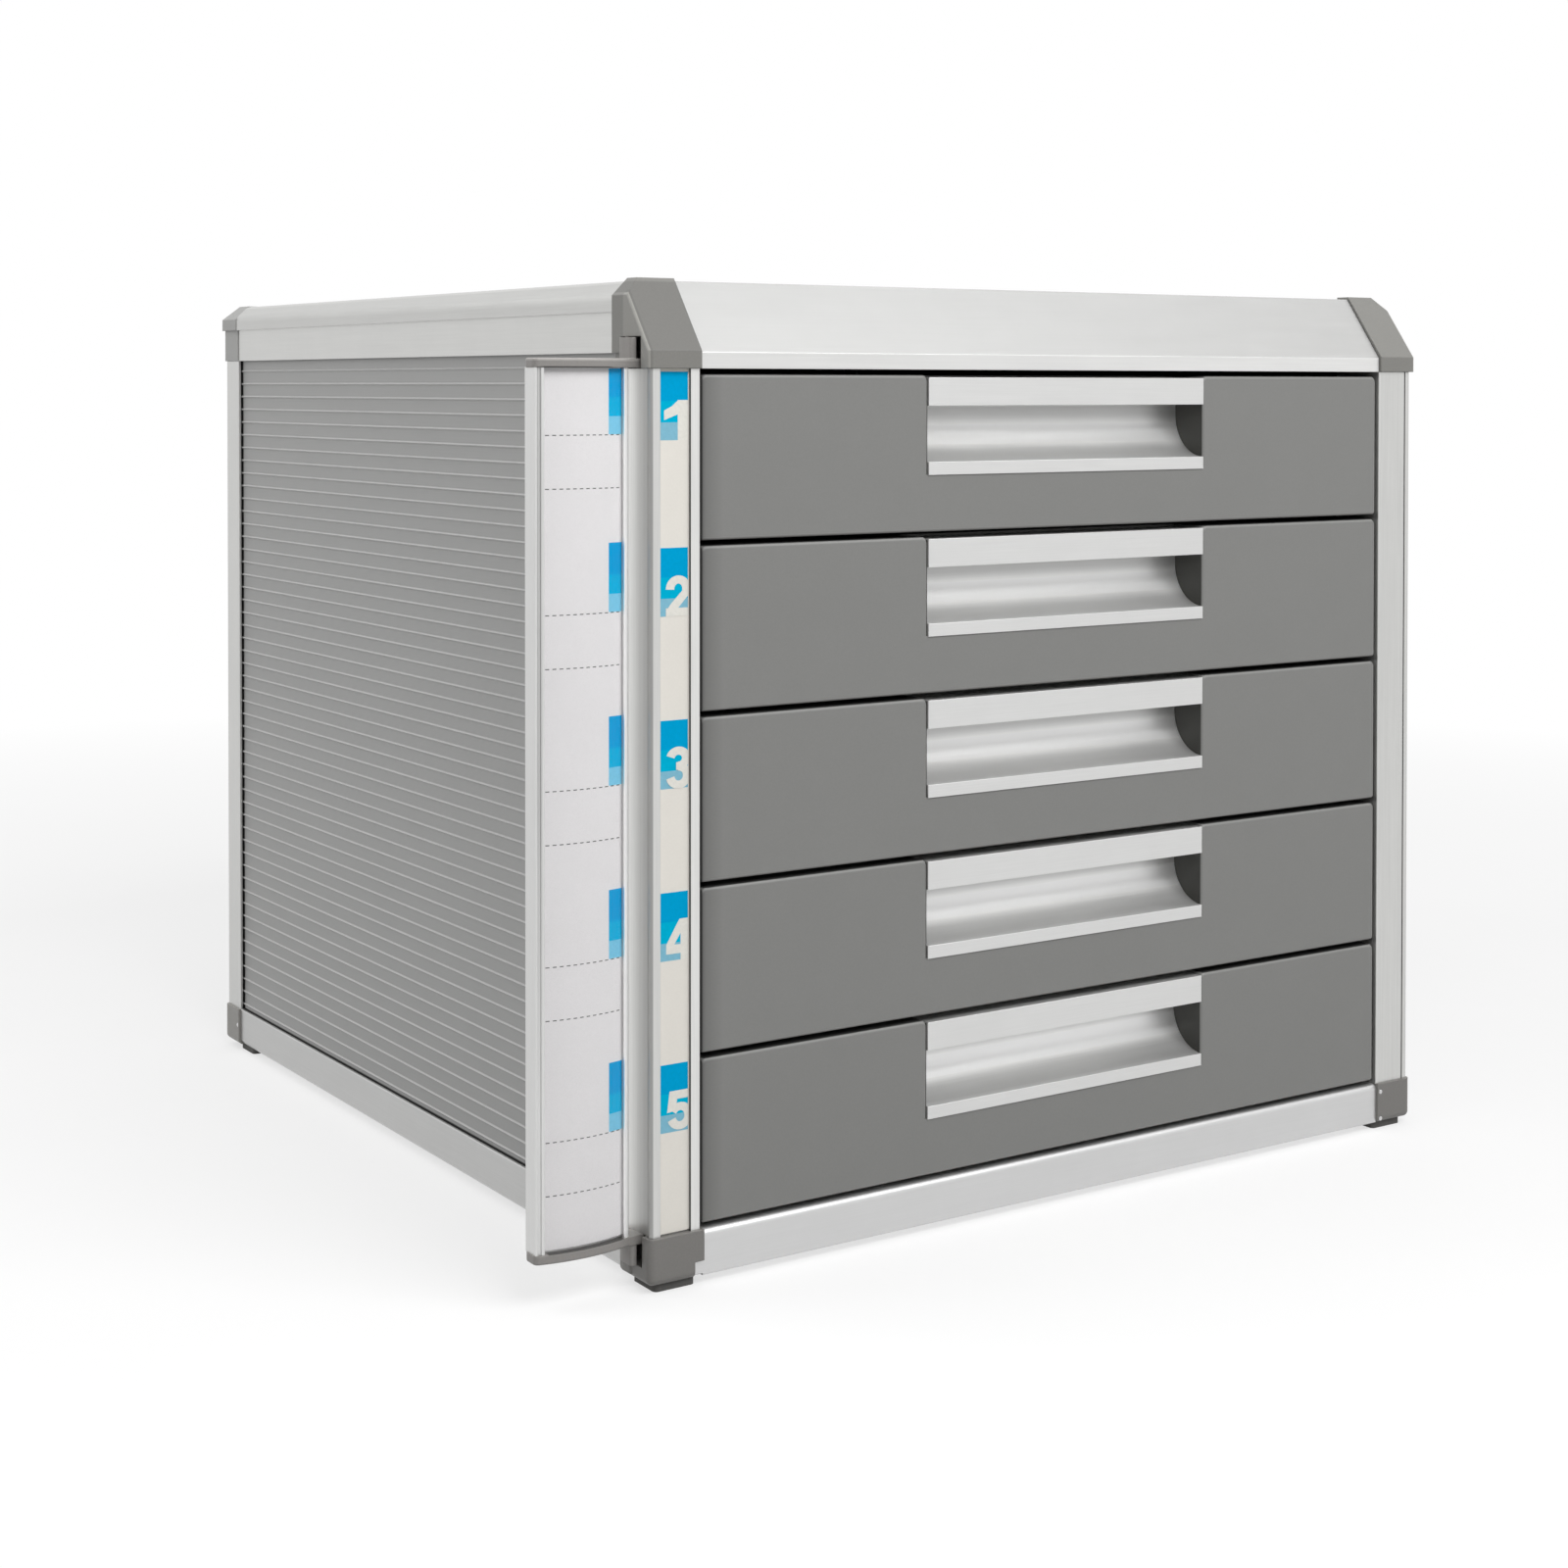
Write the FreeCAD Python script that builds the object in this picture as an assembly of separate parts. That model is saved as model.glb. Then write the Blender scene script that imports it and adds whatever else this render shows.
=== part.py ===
import FreeCAD, Part
import math
import os

os.makedirs("parts", exist_ok=True)

# Desktop drawer organizer: an aluminium frame of posts and rails held by plastic corner caps,
# ribbed side and back panels, five drawers with recessed grips, and a swing-out index panel.
# Millimetres. While it is built, x runs from the left posts' outer face, y from the front
# posts' front face towards the back, and z from the table.

# Cabinet
WIDTH = 327.4              # over the outer faces of the left and right posts
DEPTH = 350.0              # from the front posts' faces to the rear posts' faces
HEIGHT = 308.0             # from the table to the flat of the top
WALL = 1.5                 # walls of the aluminium sections
FIT = 0.15                 # gap round a plug in the hollow that it enters
PLUG = 9.0                 # length of the plugs on the corner caps

# Feet
FOOT_HEIGHT = 2.5
FOOT_WIDTH = 14.4
FOOT_DEPTH = 13.4
FOOT_SIDE_INSET = 2.2      # feet from the posts' outer faces at the sides
FOOT_FRONT_INSET = 1.4     # front feet from the posts' front faces
REAR_FOOT_INSET = 9.2      # rear feet from the back
FOOT_CORNER = 1.5

# Corner posts
LABEL_POST_WIDTH = 17.7    # front left post, with the channel for the number strip
POST_WIDTH = 16.2
FRONT_POST_DEPTH = 21.5
REAR_POST_DEPTH = 14.0
POST_ARRIS = 1.2
POST_EDGE = 0.6
LABEL_FLANGE = 3.5         # flange at each side of the number strip
LABEL_RECESS = 0.9         # depth of the strip behind the flanges' faces
LABEL_TUCK = 0.9           # how far the strip runs behind each flange
LABEL_THICKNESS = 0.5
LABEL_END_GAP = 0.5        # strip ends short of the caps
LABEL_PLAY = 0.1
FLUTE_RADIUS = 17.0        # shallow flute down the outer side of the label post
FLUTE_DEPTH = 0.85
FLUTE_CENTRE = 7.2
LINE_FROM_EDGE = 2.6       # fine line down the front of the right post
LINE_WIDTH = 0.6
LINE_DEPTH = 0.5

# Slots for the panels, in the posts and the rails
SLOT_INSET = 1.0           # lip in front of a slot
SLOT_WIDTH = 4.4
SLOT_DEPTH = 4.0
PANEL_THICKNESS = 3.5
PANEL_INSET = 0.7          # panel surface behind the slot's lip
PANEL_END_PLAY = 0.6       # panel's upright and upper edges short of the slots' floors
PANEL_REST = 0.2           # panel's lower edge above the slot's floor
RIB_PITCH = 5.24
RIB_HEIGHT = 0.55
RIB_WIDTH = 1.0
FIRST_RIB = 4.3            # first rib below the upper rail

# Lower rails, base panel and bottom caps
FRONT_RAIL_HEIGHT = 14.2
FRONT_RAIL_DEPTH = 15.0
FRONT_RAIL_ROUND = 2.0
SIDE_RAIL_HEIGHT = 14.8
RAIL_WIDTH = 15.0
RAIL_CHAMFER = 1.9
BASE_THICKNESS = 3.0
BASE_LIFT = 3.6            # base panel above the underside of the rails
BASE_PLAY = 0.1
BOTTOM_CAP_HEIGHT = 14.5
BOTTOM_CAP_DEPTH = 17.0    # front caps' side, from the posts' front faces to the side rails
LEFT_CAP_WIDTH = 18.6      # front left cap, to the front rail
BOTTOM_CAP_PROUD = 0.9     # caps stand out from the posts' faces
BOTTOM_CAP_ROUND = 2.2
TAB_WIDTH = 3.0            # end of the front rail that shows in the left cap's corner
TAB_HEIGHT = 3.9
TAB_LIFT = 0.8
TAB_GAP = 0.3              # shadow gap round the tab
PIN_RADIUS = 0.8           # small pins that fix the caps on the rails
PIN_LENGTH = 5.0
PIN_FROM_JOINT = 1.5
PIN_HEIGHTS = (1.6, 11.5)  # above the underside of the front rail
SIDE_PIN_HEIGHT = 8.0

# Top: front section with its slope, upper rails, caps and panel
TOP_FRONT_HEIGHT = 27.1
LIP_HEIGHT = 5.0
SLOPE_RUN = 16.1
REBATE = 4.0               # ledge that carries the top panel
TOP_THICKNESS = 2.2
TOP_SINK = 0.2             # top panel below the rails' flats
UPPER_RAIL_HEIGHT = 22.3
LOWER_BAND = 12.6          # plain band of the upper rail, under its eave
EAVE = 1.0                 # how far the upper band stands out
CAP_EAVE = 1.2             # how far the top caps stand out
CHAMFER_RUN = 5.0
CHAMFER_DROP = 4.7
EAVE_ROUND = 4.0           # roundings at the foot and the head of the rails' chamfer
CREST_ROUND = 3.0
TOP_CAP_PROUD = 0.9        # front caps over the slope and the flats
CAP_ROUND = 0.8            # rounding along the outer edge of a front cap's lip and slope
CAP_CHAMFER = 5.5
REAR_CAP_PROUD = 0.3       # rear caps over the flats
REAR_CAP_STEP = 0.3        # lower half of a rear cap stands out from the post

# Drawers
DRAWERS = 5
TOP_GAP = 1.7              # between the front section's lip and the first drawer
DRAWER_GAP = 1.6
BOTTOM_GAP = 1.5
SIDE_GAP = 0.8
FACE_RECESS = 1.0          # drawer faces behind the posts' faces
FRONT_THICKNESS = 18.0
FRONT_WALL = 2.4
FRONT_CELLS = 9            # cells between the upright ribs inside a front
FRONT_RIB = 1.6
FRONT_CORNER = 2.2
FRONT_EDGE = 1.1
TRAY_WALL = 1.8
TRAY_SIDE = 7.8            # tray wall inside the post's inner face
TRAY_LIFT = 1.5            # tray floor above the front's lower edge
TRAY_DROP = 4.0            # tray rim below the front's upper edge
TRAY_BACK_GAP = 4.0        # tray short of the rear posts
RUNNER_PLAY = 0.25         # under the tray's flange
GUIDE_PLAY = 0.5           # over the tray's flange
FLANGE_THICKNESS = 2.0
FLANGE_GAP = 1.5           # flange edge inside the post's inner face
EAR_LENGTH = 8.0
EAR_GAP = 0.3              # ear inside the post's inner face
TRAVEL = 250.0             # how far a drawer slides before its ears meet the stops

# Runners
RUNNER_WEB = 2.0
RUNNER_INSET = 0.5         # web behind the post's inner face
RUNNER_END = 6.4           # end flanges that the screws go through
LEDGE = 1.8
LEDGE_GAP = 0.8            # ledge edge to tray wall
STOP_LENGTH = 4.0
STOP_GAP = 0.6             # stop rib to the flange's edge
RUNNER_END_GAP = 0.4       # runner above the lower rails
RUNNER_TOP_GAP = 2.7       # runner below the upper rails

# Handles
HANDLE_WIDTH = 119.8
HANDLE_OFFSET = 0.2        # handle's middle right of the front's middle
HANDLE_DROP = 0.8          # handle's top below the front's top
HANDLE_PROUD = 0.4
HANDLE_WALL = 1.5
BAND_HEIGHT = 9.2
BOWL_RADIUS = 14.4
GRIP_HEIGHT = 18.3
LIP_BAND = 4.2
HANDLE_PLAY = 0.12

# Screws
SCREW_RADIUS = 1.5
SCREW_LENGTH = 10.0
HEAD_RADIUS = 2.9
HEAD_HEIGHT = 1.7
HOLE_PLAY = 0.05
BOSS_RADIUS = 3.4
SCREW_FROM_END = 26.0      # drawer screws from the ends of the front
SCREW_FROM_EDGE = 12.0     # and from the tray's floor and rim
RUNNER_SCREW_SPACING = 110.0

# Index panel, hinged on the front left caps and shown open
INDEX_WIDTH = 32.0
INDEX_GAP = 4.0            # panel edge to the cabinet's side
INDEX_SETBACK = 6.1        # panel's front edges behind the posts' faces
INDEX_CROWN = 2.3          # swell of the panel's front
INDEX_BACK = 12.3
INDEX_OUTER_FLANGE = 2.8   # flanges at the two sides of the window
INDEX_INNER_FLANGE = 1.8
INDEX_GROOVE_INSET = 0.7   # groove down the outer flange
INDEX_GROOVE_WIDTH = 1.1
INDEX_GROOVE_DEPTH = 0.5
INDEX_RECESS = 1.0
INDEX_SLOT = 1.1
INDEX_TUCK = 0.9           # how far the sheets run behind the flanges
INDEX_WALL = 1.3
INDEX_ROUND = 0.5
CARD_THICKNESS = 0.3
COVER_THICKNESS = 0.5
SHEET_PLAY = 0.1
SHEET_LIFT = 0.8           # sheets' lower edges above the panel's lower cap
INDEX_CAP_THICKNESS = 2.8
INDEX_CAP_PROUD = 0.4
INDEX_CAP_CORNER = 2.0     # upright corners at the free side of the panel's caps
INDEX_CAP_ROUND = 0.6      # rounding of the caps' outer rims
INDEX_BOTTOM = 14.2        # underside of the panel's lower cap
INDEX_TOP_GAP = 0.2        # panel's upper cap above the front section's underside
PIVOT_OUT = 0.5            # hinge axis outside the posts' side faces
PIVOT_BACK = 12.6          # and behind the posts' front faces
ARM_REACH = 1.5            # arm past the hinge axis
ARM_ROUND = 2.9
BARREL_RADIUS = 2.6
BARREL_HEIGHT = 6.4
CHEEK_OUT = 0.3            # cheek beside each barrel, out past the barrel
CHEEK_STEP = 0.2           # and behind the arm's front
CHEEK_ROUND = 1.2
PEG_RADIUS = 0.75
PEG_LENGTH = 4.6
PEG_PLAY = 0.05
POCKET_SPARE = 1.0         # room left before the arms and barrels
POCKET_BACK = 3.2          # pocket round the barrel, behind the hinge axis
POCKET_INNER = 3.6         # and towards the inside
POCKET_CLEAR = 0.3
ARM_CLEAR = 0.3
PAD_OUT = 1.4              # seat under the lower barrel, out from the side
PAD_FRONT = 3.0
PAD_HEIGHT = 3.6

# Levels and places that follow
FRAME_BOTTOM = FOOT_HEIGHT
POST_BOTTOM = FRAME_BOTTOM + BOTTOM_CAP_HEIGHT
FRONT_RAIL_TOP = FRAME_BOTTOM + FRONT_RAIL_HEIGHT
SIDE_RAIL_TOP = FRAME_BOTTOM + SIDE_RAIL_HEIGHT
LIP_BOTTOM = HEIGHT - TOP_FRONT_HEIGHT
UPPER_BOTTOM = HEIGHT - UPPER_RAIL_HEIGHT
BAND_LEVEL = UPPER_BOTTOM + LOWER_BAND
REAR_FRONT = DEPTH - REAR_POST_DEPTH
OPEN_LEFT = LABEL_POST_WIDTH
OPEN_RIGHT = WIDTH - POST_WIDTH
SLOT_FAR = SLOT_INSET + SLOT_WIDTH

DRAWER_PITCH = (LIP_BOTTOM - TOP_GAP + DRAWER_GAP - FRONT_RAIL_TOP - BOTTOM_GAP) / DRAWERS
FRONT_HEIGHT = DRAWER_PITCH - DRAWER_GAP
FRONT_LEFT = OPEN_LEFT + SIDE_GAP
FRONT_RIGHT = OPEN_RIGHT - SIDE_GAP
FRONT_BACK = FACE_RECESS + FRONT_THICKNESS
TRAY_LEFT = OPEN_LEFT + TRAY_SIDE
TRAY_RIGHT = OPEN_RIGHT - TRAY_SIDE
TRAY_BACK = REAR_FRONT - TRAY_BACK_GAP
OPEN_MIDDLE = (OPEN_LEFT + OPEN_RIGHT) / 2
HANDLE_LEFT = (FRONT_LEFT + FRONT_RIGHT - HANDLE_WIDTH) / 2 + HANDLE_OFFSET
HANDLE_RIGHT = HANDLE_LEFT + HANDLE_WIDTH
HANDLE_HEIGHT = BAND_HEIGHT + GRIP_HEIGHT + LIP_BAND

INDEX_RIGHT = -INDEX_GAP
INDEX_LEFT = INDEX_RIGHT - INDEX_WIDTH
WINDOW_LEFT = INDEX_LEFT + INDEX_OUTER_FLANGE
WINDOW_RIGHT = INDEX_RIGHT - INDEX_INNER_FLANGE
INDEX_CAP_TOP = LIP_BOTTOM + INDEX_TOP_GAP + INDEX_CAP_THICKNESS
INDEX_LOW = INDEX_BOTTOM + INDEX_CAP_THICKNESS
INDEX_HIGH = INDEX_CAP_TOP - INDEX_CAP_THICKNESS
PIVOT_X = -PIVOT_OUT
PIVOT_Y = PIVOT_BACK
POCKET_FRONT = INDEX_SETBACK - INDEX_CROWN / 2 - ARM_CLEAR - POCKET_SPARE

# The row's origin is on the table, under the middle of the whole box with the panel open
BOX_LEFT = INDEX_LEFT - INDEX_CAP_PROUD
BOX_RIGHT = WIDTH + CAP_EAVE
BOX_FRONT = -TOP_CAP_PROUD
BOX_BACK = DEPTH + CAP_EAVE
CENTRE_X = (BOX_LEFT + BOX_RIGHT) / 2
CENTRE_Y = (BOX_FRONT + BOX_BACK) / 2


def vector(x, y, z):
    return FreeCAD.Vector(x, y, z)


def box(x0, x1, y0, y1, z0, z1):
    return Part.makeBox(x1 - x0, y1 - y0, z1 - z0, vector(x0, y0, z0))


def rod(radius, x, y, z, length, direction):
    return Part.makeCylinder(radius, length, vector(x, y, z), direction)


def outline_edges(points, radii, lift):
    """Edges of a closed outline, with an arc at each corner that has a radius."""
    count = len(points)
    starts = []
    ends = []
    middles = []
    for index in range(count):
        corner = lift(*points[index])
        radius = radii.get(index, 0)
        if radius == 0:
            starts.append(corner)
            ends.append(corner)
            middles.append(None)
            continue
        before = (lift(*points[index - 1]) - corner).normalize()
        after = (lift(*points[(index + 1) % count]) - corner).normalize()
        half = before.getAngle(after) / 2
        bisector = (before + after).normalize()
        centre = corner + bisector * (radius / math.sin(half))
        starts.append(corner + before * (radius / math.tan(half)))
        ends.append(corner + after * (radius / math.tan(half)))
        middles.append(centre - bisector * radius)
    edges = []
    for index in range(count):
        if middles[index] is not None:
            edges.append(Part.Arc(starts[index], middles[index], ends[index]).toShape())
        following = starts[(index + 1) % count]
        if (following - ends[index]).Length > 1e-7:
            edges.append(Part.LineSegment(ends[index], following).toShape())
    return edges


def prism(points, axis, start, end, radii=None):
    """Solid of an outline drawn across an axis: (y, z) for x, (x, z) for y, (x, y) for z."""
    lifts = {
        "x": lambda a, b: vector(start, a, b),
        "y": lambda a, b: vector(a, start, b),
        "z": lambda a, b: vector(a, b, start),
    }
    ways = {
        "x": vector(end - start, 0, 0),
        "y": vector(0, end - start, 0),
        "z": vector(0, 0, end - start),
    }
    wire = Part.Wire(outline_edges(points, radii or {}, lifts[axis]))
    return Part.Face(wire).extrude(ways[axis])


def inset(points, wall):
    """The outline moved inwards by a wall."""
    count = len(points)
    area = 0
    for index in range(count):
        x0, y0 = points[index]
        x1, y1 = points[(index + 1) % count]
        area += x0 * y1 - x1 * y0
    side = 1 if area > 0 else -1
    lines = []
    for index in range(count):
        x0, y0 = points[index]
        x1, y1 = points[(index + 1) % count]
        length = math.hypot(x1 - x0, y1 - y0)
        normal_x = -side * (y1 - y0) / length
        normal_y = side * (x1 - x0) / length
        lines.append((normal_x, normal_y, normal_x * x0 + normal_y * y0 + wall))
    moved = []
    for index in range(count):
        a0, b0, c0 = lines[index - 1]
        a1, b1, c1 = lines[index]
        scale = a0 * b1 - a1 * b0
        moved.append(((c0 * b1 - c1 * b0) / scale, (a0 * c1 - a1 * c0) / scale))
    return moved


def cut(shape, *tools):
    for tool in tools:
        shape = shape.cut(tool)
    return shape


def join(shape, *others):
    for other in others:
        shape = shape.fuse(other)
    return shape.removeSplitter()


def mirrored(shape):
    """The same piece on the other side of the cabinet."""
    return shape.mirror(vector(WIDTH / 2, 0, 0), vector(1, 0, 0))


def mirrored_in_opening(shape):
    """The same piece on the other side of the drawer opening."""
    return shape.mirror(vector(OPEN_MIDDLE, 0, 0), vector(1, 0, 0))


def to_rear(shape):
    """A left rail, drawn from y = 0, turned to run along the back."""
    turned = shape.copy()
    turned.rotate(vector(0, 0, 0), vector(0, 0, 1), -90)
    turned.translate(vector(POST_WIDTH, DEPTH, 0))
    return turned


def moved(shape, x, y, z):
    copy = shape.copy()
    copy.translate(vector(x, y, z))
    return copy


# Hollows of the sections, as (low, high) pairs, which the plugs of the caps share

LABEL_POST_CORE = (
    (SLOT_FAR + WALL, LABEL_POST_WIDTH - WALL),
    (LABEL_RECESS + LABEL_THICKNESS + LABEL_PLAY + WALL, FRONT_POST_DEPTH - WALL),
)
FRONT_POST_CORE = (
    (SLOT_FAR + WALL, POST_WIDTH - WALL),
    (LINE_DEPTH + WALL, FRONT_POST_DEPTH - WALL),
)
REAR_POST_CORE = (
    (WALL, POST_WIDTH - SLOT_DEPTH - WALL),
    (REAR_FRONT + SLOT_DEPTH + WALL, DEPTH - WALL),
)
BASE_SLOT = (FRAME_BOTTOM + BASE_LIFT, FRAME_BOTTOM + BASE_LIFT + BASE_THICKNESS + 2 * BASE_PLAY)
LOWER_CORE = (
    (WALL, RAIL_WIDTH - SLOT_DEPTH - WALL),
    (FRAME_BOTTOM + WALL + RAIL_CHAMFER / 2, SIDE_RAIL_TOP - SLOT_DEPTH - WALL),
)
FRONT_CORE = (
    (WALL, FRONT_RAIL_DEPTH - SLOT_DEPTH - WALL),
    (FRAME_BOTTOM + WALL, FRONT_RAIL_TOP - FRONT_RAIL_ROUND),
)
UPPER_CORE = (
    (WALL, RAIL_WIDTH - WALL),
    (UPPER_BOTTOM + SLOT_DEPTH + WALL, HEIGHT - CHAMFER_DROP - WALL),
)


def label_post():
    """Front left post, with a channel for the number strip."""
    low = POST_BOTTOM
    high = LIP_BOTTOM
    corners = [(0, 0), (LABEL_POST_WIDTH, 0), (LABEL_POST_WIDTH, FRONT_POST_DEPTH), (0, FRONT_POST_DEPTH)]
    body = prism(corners, "z", low, high, {0: POST_ARRIS, 1: POST_EDGE})
    mouth = box(LABEL_FLANGE, LABEL_POST_WIDTH - LABEL_FLANGE, -1, LABEL_RECESS, low, high)
    channel = box(
        LABEL_FLANGE - LABEL_TUCK - LABEL_PLAY,
        LABEL_POST_WIDTH - LABEL_FLANGE + LABEL_TUCK + LABEL_PLAY,
        LABEL_RECESS,
        LABEL_RECESS + LABEL_THICKNESS + LABEL_PLAY,
        low,
        high,
    )
    slot = box(SLOT_INSET, SLOT_FAR, FRONT_POST_DEPTH - SLOT_DEPTH, FRONT_POST_DEPTH, low, high)
    core = box(*LABEL_POST_CORE[0], *LABEL_POST_CORE[1], low, high)
    flute = rod(FLUTE_RADIUS, FLUTE_DEPTH - FLUTE_RADIUS, FLUTE_CENTRE, low, high - low, vector(0, 0, 1))
    return cut(body, mouth, channel, slot, core, flute)


def label_strip():
    """Number strip in the left post's channel."""
    return box(
        LABEL_FLANGE - LABEL_TUCK,
        LABEL_POST_WIDTH - LABEL_FLANGE + LABEL_TUCK,
        LABEL_RECESS,
        LABEL_RECESS + LABEL_THICKNESS,
        POST_BOTTOM + LABEL_END_GAP,
        LIP_BOTTOM,
    )


def plain_front_post():
    """Front right post, drawn at the left."""
    low = POST_BOTTOM
    high = LIP_BOTTOM
    corners = [(0, 0), (POST_WIDTH, 0), (POST_WIDTH, FRONT_POST_DEPTH), (0, FRONT_POST_DEPTH)]
    body = prism(corners, "z", low, high, {0: POST_ARRIS, 1: POST_EDGE})
    line = box(LINE_FROM_EDGE, LINE_FROM_EDGE + LINE_WIDTH, -1, LINE_DEPTH, low, high)
    slot = box(SLOT_INSET, SLOT_FAR, FRONT_POST_DEPTH - SLOT_DEPTH, FRONT_POST_DEPTH, low, high)
    core = box(*FRONT_POST_CORE[0], *FRONT_POST_CORE[1], low, high)
    return cut(body, line, slot, core)


def rear_post():
    """Rear left post, with slots for the side panel and the back panel."""
    low = POST_BOTTOM
    high = UPPER_BOTTOM
    corners = [(0, REAR_FRONT), (POST_WIDTH, REAR_FRONT), (POST_WIDTH, DEPTH), (0, DEPTH)]
    body = prism(corners, "z", low, high, {3: POST_ARRIS})
    side_slot = box(SLOT_INSET, SLOT_FAR, REAR_FRONT, REAR_FRONT + SLOT_DEPTH, low, high)
    back_slot = box(POST_WIDTH - SLOT_DEPTH, POST_WIDTH, DEPTH - SLOT_FAR, DEPTH - SLOT_INSET, low, high)
    core = box(*REAR_POST_CORE[0], *REAR_POST_CORE[1], low, high)
    return cut(body, side_slot, back_slot, core)


def lower_rail(length):
    """Lower side rail, its outer face at x = 0, drawn from y = 0."""
    section = [
        (0, FRAME_BOTTOM + RAIL_CHAMFER),
        (RAIL_CHAMFER, FRAME_BOTTOM),
        (RAIL_WIDTH, FRAME_BOTTOM),
        (RAIL_WIDTH, SIDE_RAIL_TOP),
        (0, SIDE_RAIL_TOP),
    ]
    body = prism(section, "y", 0, length, {4: POST_EDGE})
    panel_slot = box(SLOT_INSET, SLOT_FAR, 0, length, SIDE_RAIL_TOP - SLOT_DEPTH, SIDE_RAIL_TOP)
    base_slot = box(RAIL_WIDTH - SLOT_DEPTH, RAIL_WIDTH, 0, length, *BASE_SLOT)
    core = box(*LOWER_CORE[0], 0, length, *LOWER_CORE[1])
    return cut(body, panel_slot, base_slot, core)


def lower_side_rail():
    """Lower left rail, from the front cap to the rear one, let in under the front post."""
    rail = moved(lower_rail(REAR_FRONT - BOTTOM_CAP_DEPTH), 0, BOTTOM_CAP_DEPTH, 0)
    under_post = box(
        -1, RAIL_WIDTH + 1, BOTTOM_CAP_DEPTH - 1, FRONT_POST_DEPTH + FIT, POST_BOTTOM, SIDE_RAIL_TOP + 1
    )
    return cut(rail, under_post)


def front_rail():
    """Lower front rail, with the tab that shows in the left cap's corner."""
    section = [
        (0, FRAME_BOTTOM),
        (FRONT_RAIL_DEPTH, FRAME_BOTTOM),
        (FRONT_RAIL_DEPTH, FRONT_RAIL_TOP),
        (0, FRONT_RAIL_TOP),
    ]
    start = LEFT_CAP_WIDTH
    body = prism(section, "x", start, OPEN_RIGHT, {0: POST_EDGE, 3: FRONT_RAIL_ROUND})
    base_slot = box(start, OPEN_RIGHT, FRONT_RAIL_DEPTH - SLOT_DEPTH, FRONT_RAIL_DEPTH, *BASE_SLOT)
    core = box(start, OPEN_RIGHT, *FRONT_CORE[0], *FRONT_CORE[1])
    low = FRAME_BOTTOM + TAB_LIFT
    tab = box(start - TAB_WIDTH, start, 0, WALL, low, low + TAB_HEIGHT)
    return join(cut(body, base_slot, core), tab)


def base_panel():
    """Floor board in the slots of the four lower rails."""
    edge = RAIL_WIDTH - SLOT_DEPTH + PANEL_END_PLAY
    low = BASE_SLOT[0] + BASE_PLAY
    board = box(
        edge,
        WIDTH - edge,
        FRONT_RAIL_DEPTH - SLOT_DEPTH + PANEL_END_PLAY,
        DEPTH - edge,
        low,
        low + BASE_THICKNESS,
    )
    left_notch = LEFT_CAP_WIDTH + FIT
    right_notch = WIDTH - POST_WIDTH - FIT
    front_notch = FRONT_POST_DEPTH + FIT
    rear_notch = REAR_FRONT - FIT
    return cut(
        board,
        box(0, left_notch, 0, front_notch, 0, SIDE_RAIL_TOP),
        box(right_notch, WIDTH, 0, front_notch, 0, SIDE_RAIL_TOP),
        box(0, POST_WIDTH + FIT, rear_notch, DEPTH, 0, SIDE_RAIL_TOP),
        box(right_notch, WIDTH, rear_notch, DEPTH, 0, SIDE_RAIL_TOP),
    )


def ribbed_board(length):
    """Ribbed panel, its outer face towards -x, drawn from y = 0."""
    outer = SLOT_INSET + PANEL_INSET
    low = SIDE_RAIL_TOP - SLOT_DEPTH + PANEL_REST
    high = UPPER_BOTTOM + SLOT_DEPTH - PANEL_END_PLAY
    section = [(outer, high), (outer + PANEL_THICKNESS, high), (outer + PANEL_THICKNESS, low), (outer, low)]
    ribs = []
    level = UPPER_BOTTOM - FIRST_RIB
    while level > SIDE_RAIL_TOP + RIB_WIDTH:
        ribs.append(level)
        level -= RIB_PITCH
    for level in reversed(ribs):
        section.append((outer, level - RIB_WIDTH / 2))
        section.append((outer - RIB_HEIGHT, level))
        section.append((outer, level + RIB_WIDTH / 2))
    return prism(section, "y", 0, length)


def corner_notch(y0, y1, z0, z1):
    """Room for a cap's corner in a ribbed board."""
    return box(0, SLOT_FAR, y0, y1, z0, z1)


def side_panel():
    start = FRONT_POST_DEPTH - SLOT_DEPTH + PANEL_END_PLAY
    end = REAR_FRONT + SLOT_DEPTH - PANEL_END_PLAY
    return cut(
        moved(ribbed_board(end - start), 0, start, 0),
        corner_notch(start, FRONT_POST_DEPTH + FIT, 0, POST_BOTTOM + FIT),
        corner_notch(start, FRONT_POST_DEPTH + FIT, LIP_BOTTOM - FIT, HEIGHT),
        corner_notch(REAR_FRONT - FIT, end, 0, POST_BOTTOM + FIT),
        corner_notch(REAR_FRONT - FIT, end, UPPER_BOTTOM - FIT, HEIGHT),
    )


def back_panel():
    reach = SLOT_DEPTH - PANEL_END_PLAY
    length = WIDTH - 2 * POST_WIDTH + 2 * reach
    board = cut(
        ribbed_board(length),
        corner_notch(0, reach + FIT, 0, POST_BOTTOM + FIT),
        corner_notch(0, reach + FIT, UPPER_BOTTOM - FIT, HEIGHT),
        corner_notch(length - reach - FIT, length, 0, POST_BOTTOM + FIT),
        corner_notch(length - reach - FIT, length, UPPER_BOTTOM - FIT, HEIGHT),
    )
    return moved(to_rear(board), -reach, 0, 0)


def edges_on(shape, test):
    """Edges whose every corner passes the test."""
    return [edge for edge in shape.Edges if all(test(corner.Point) for corner in edge.Vertexes)]


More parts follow.
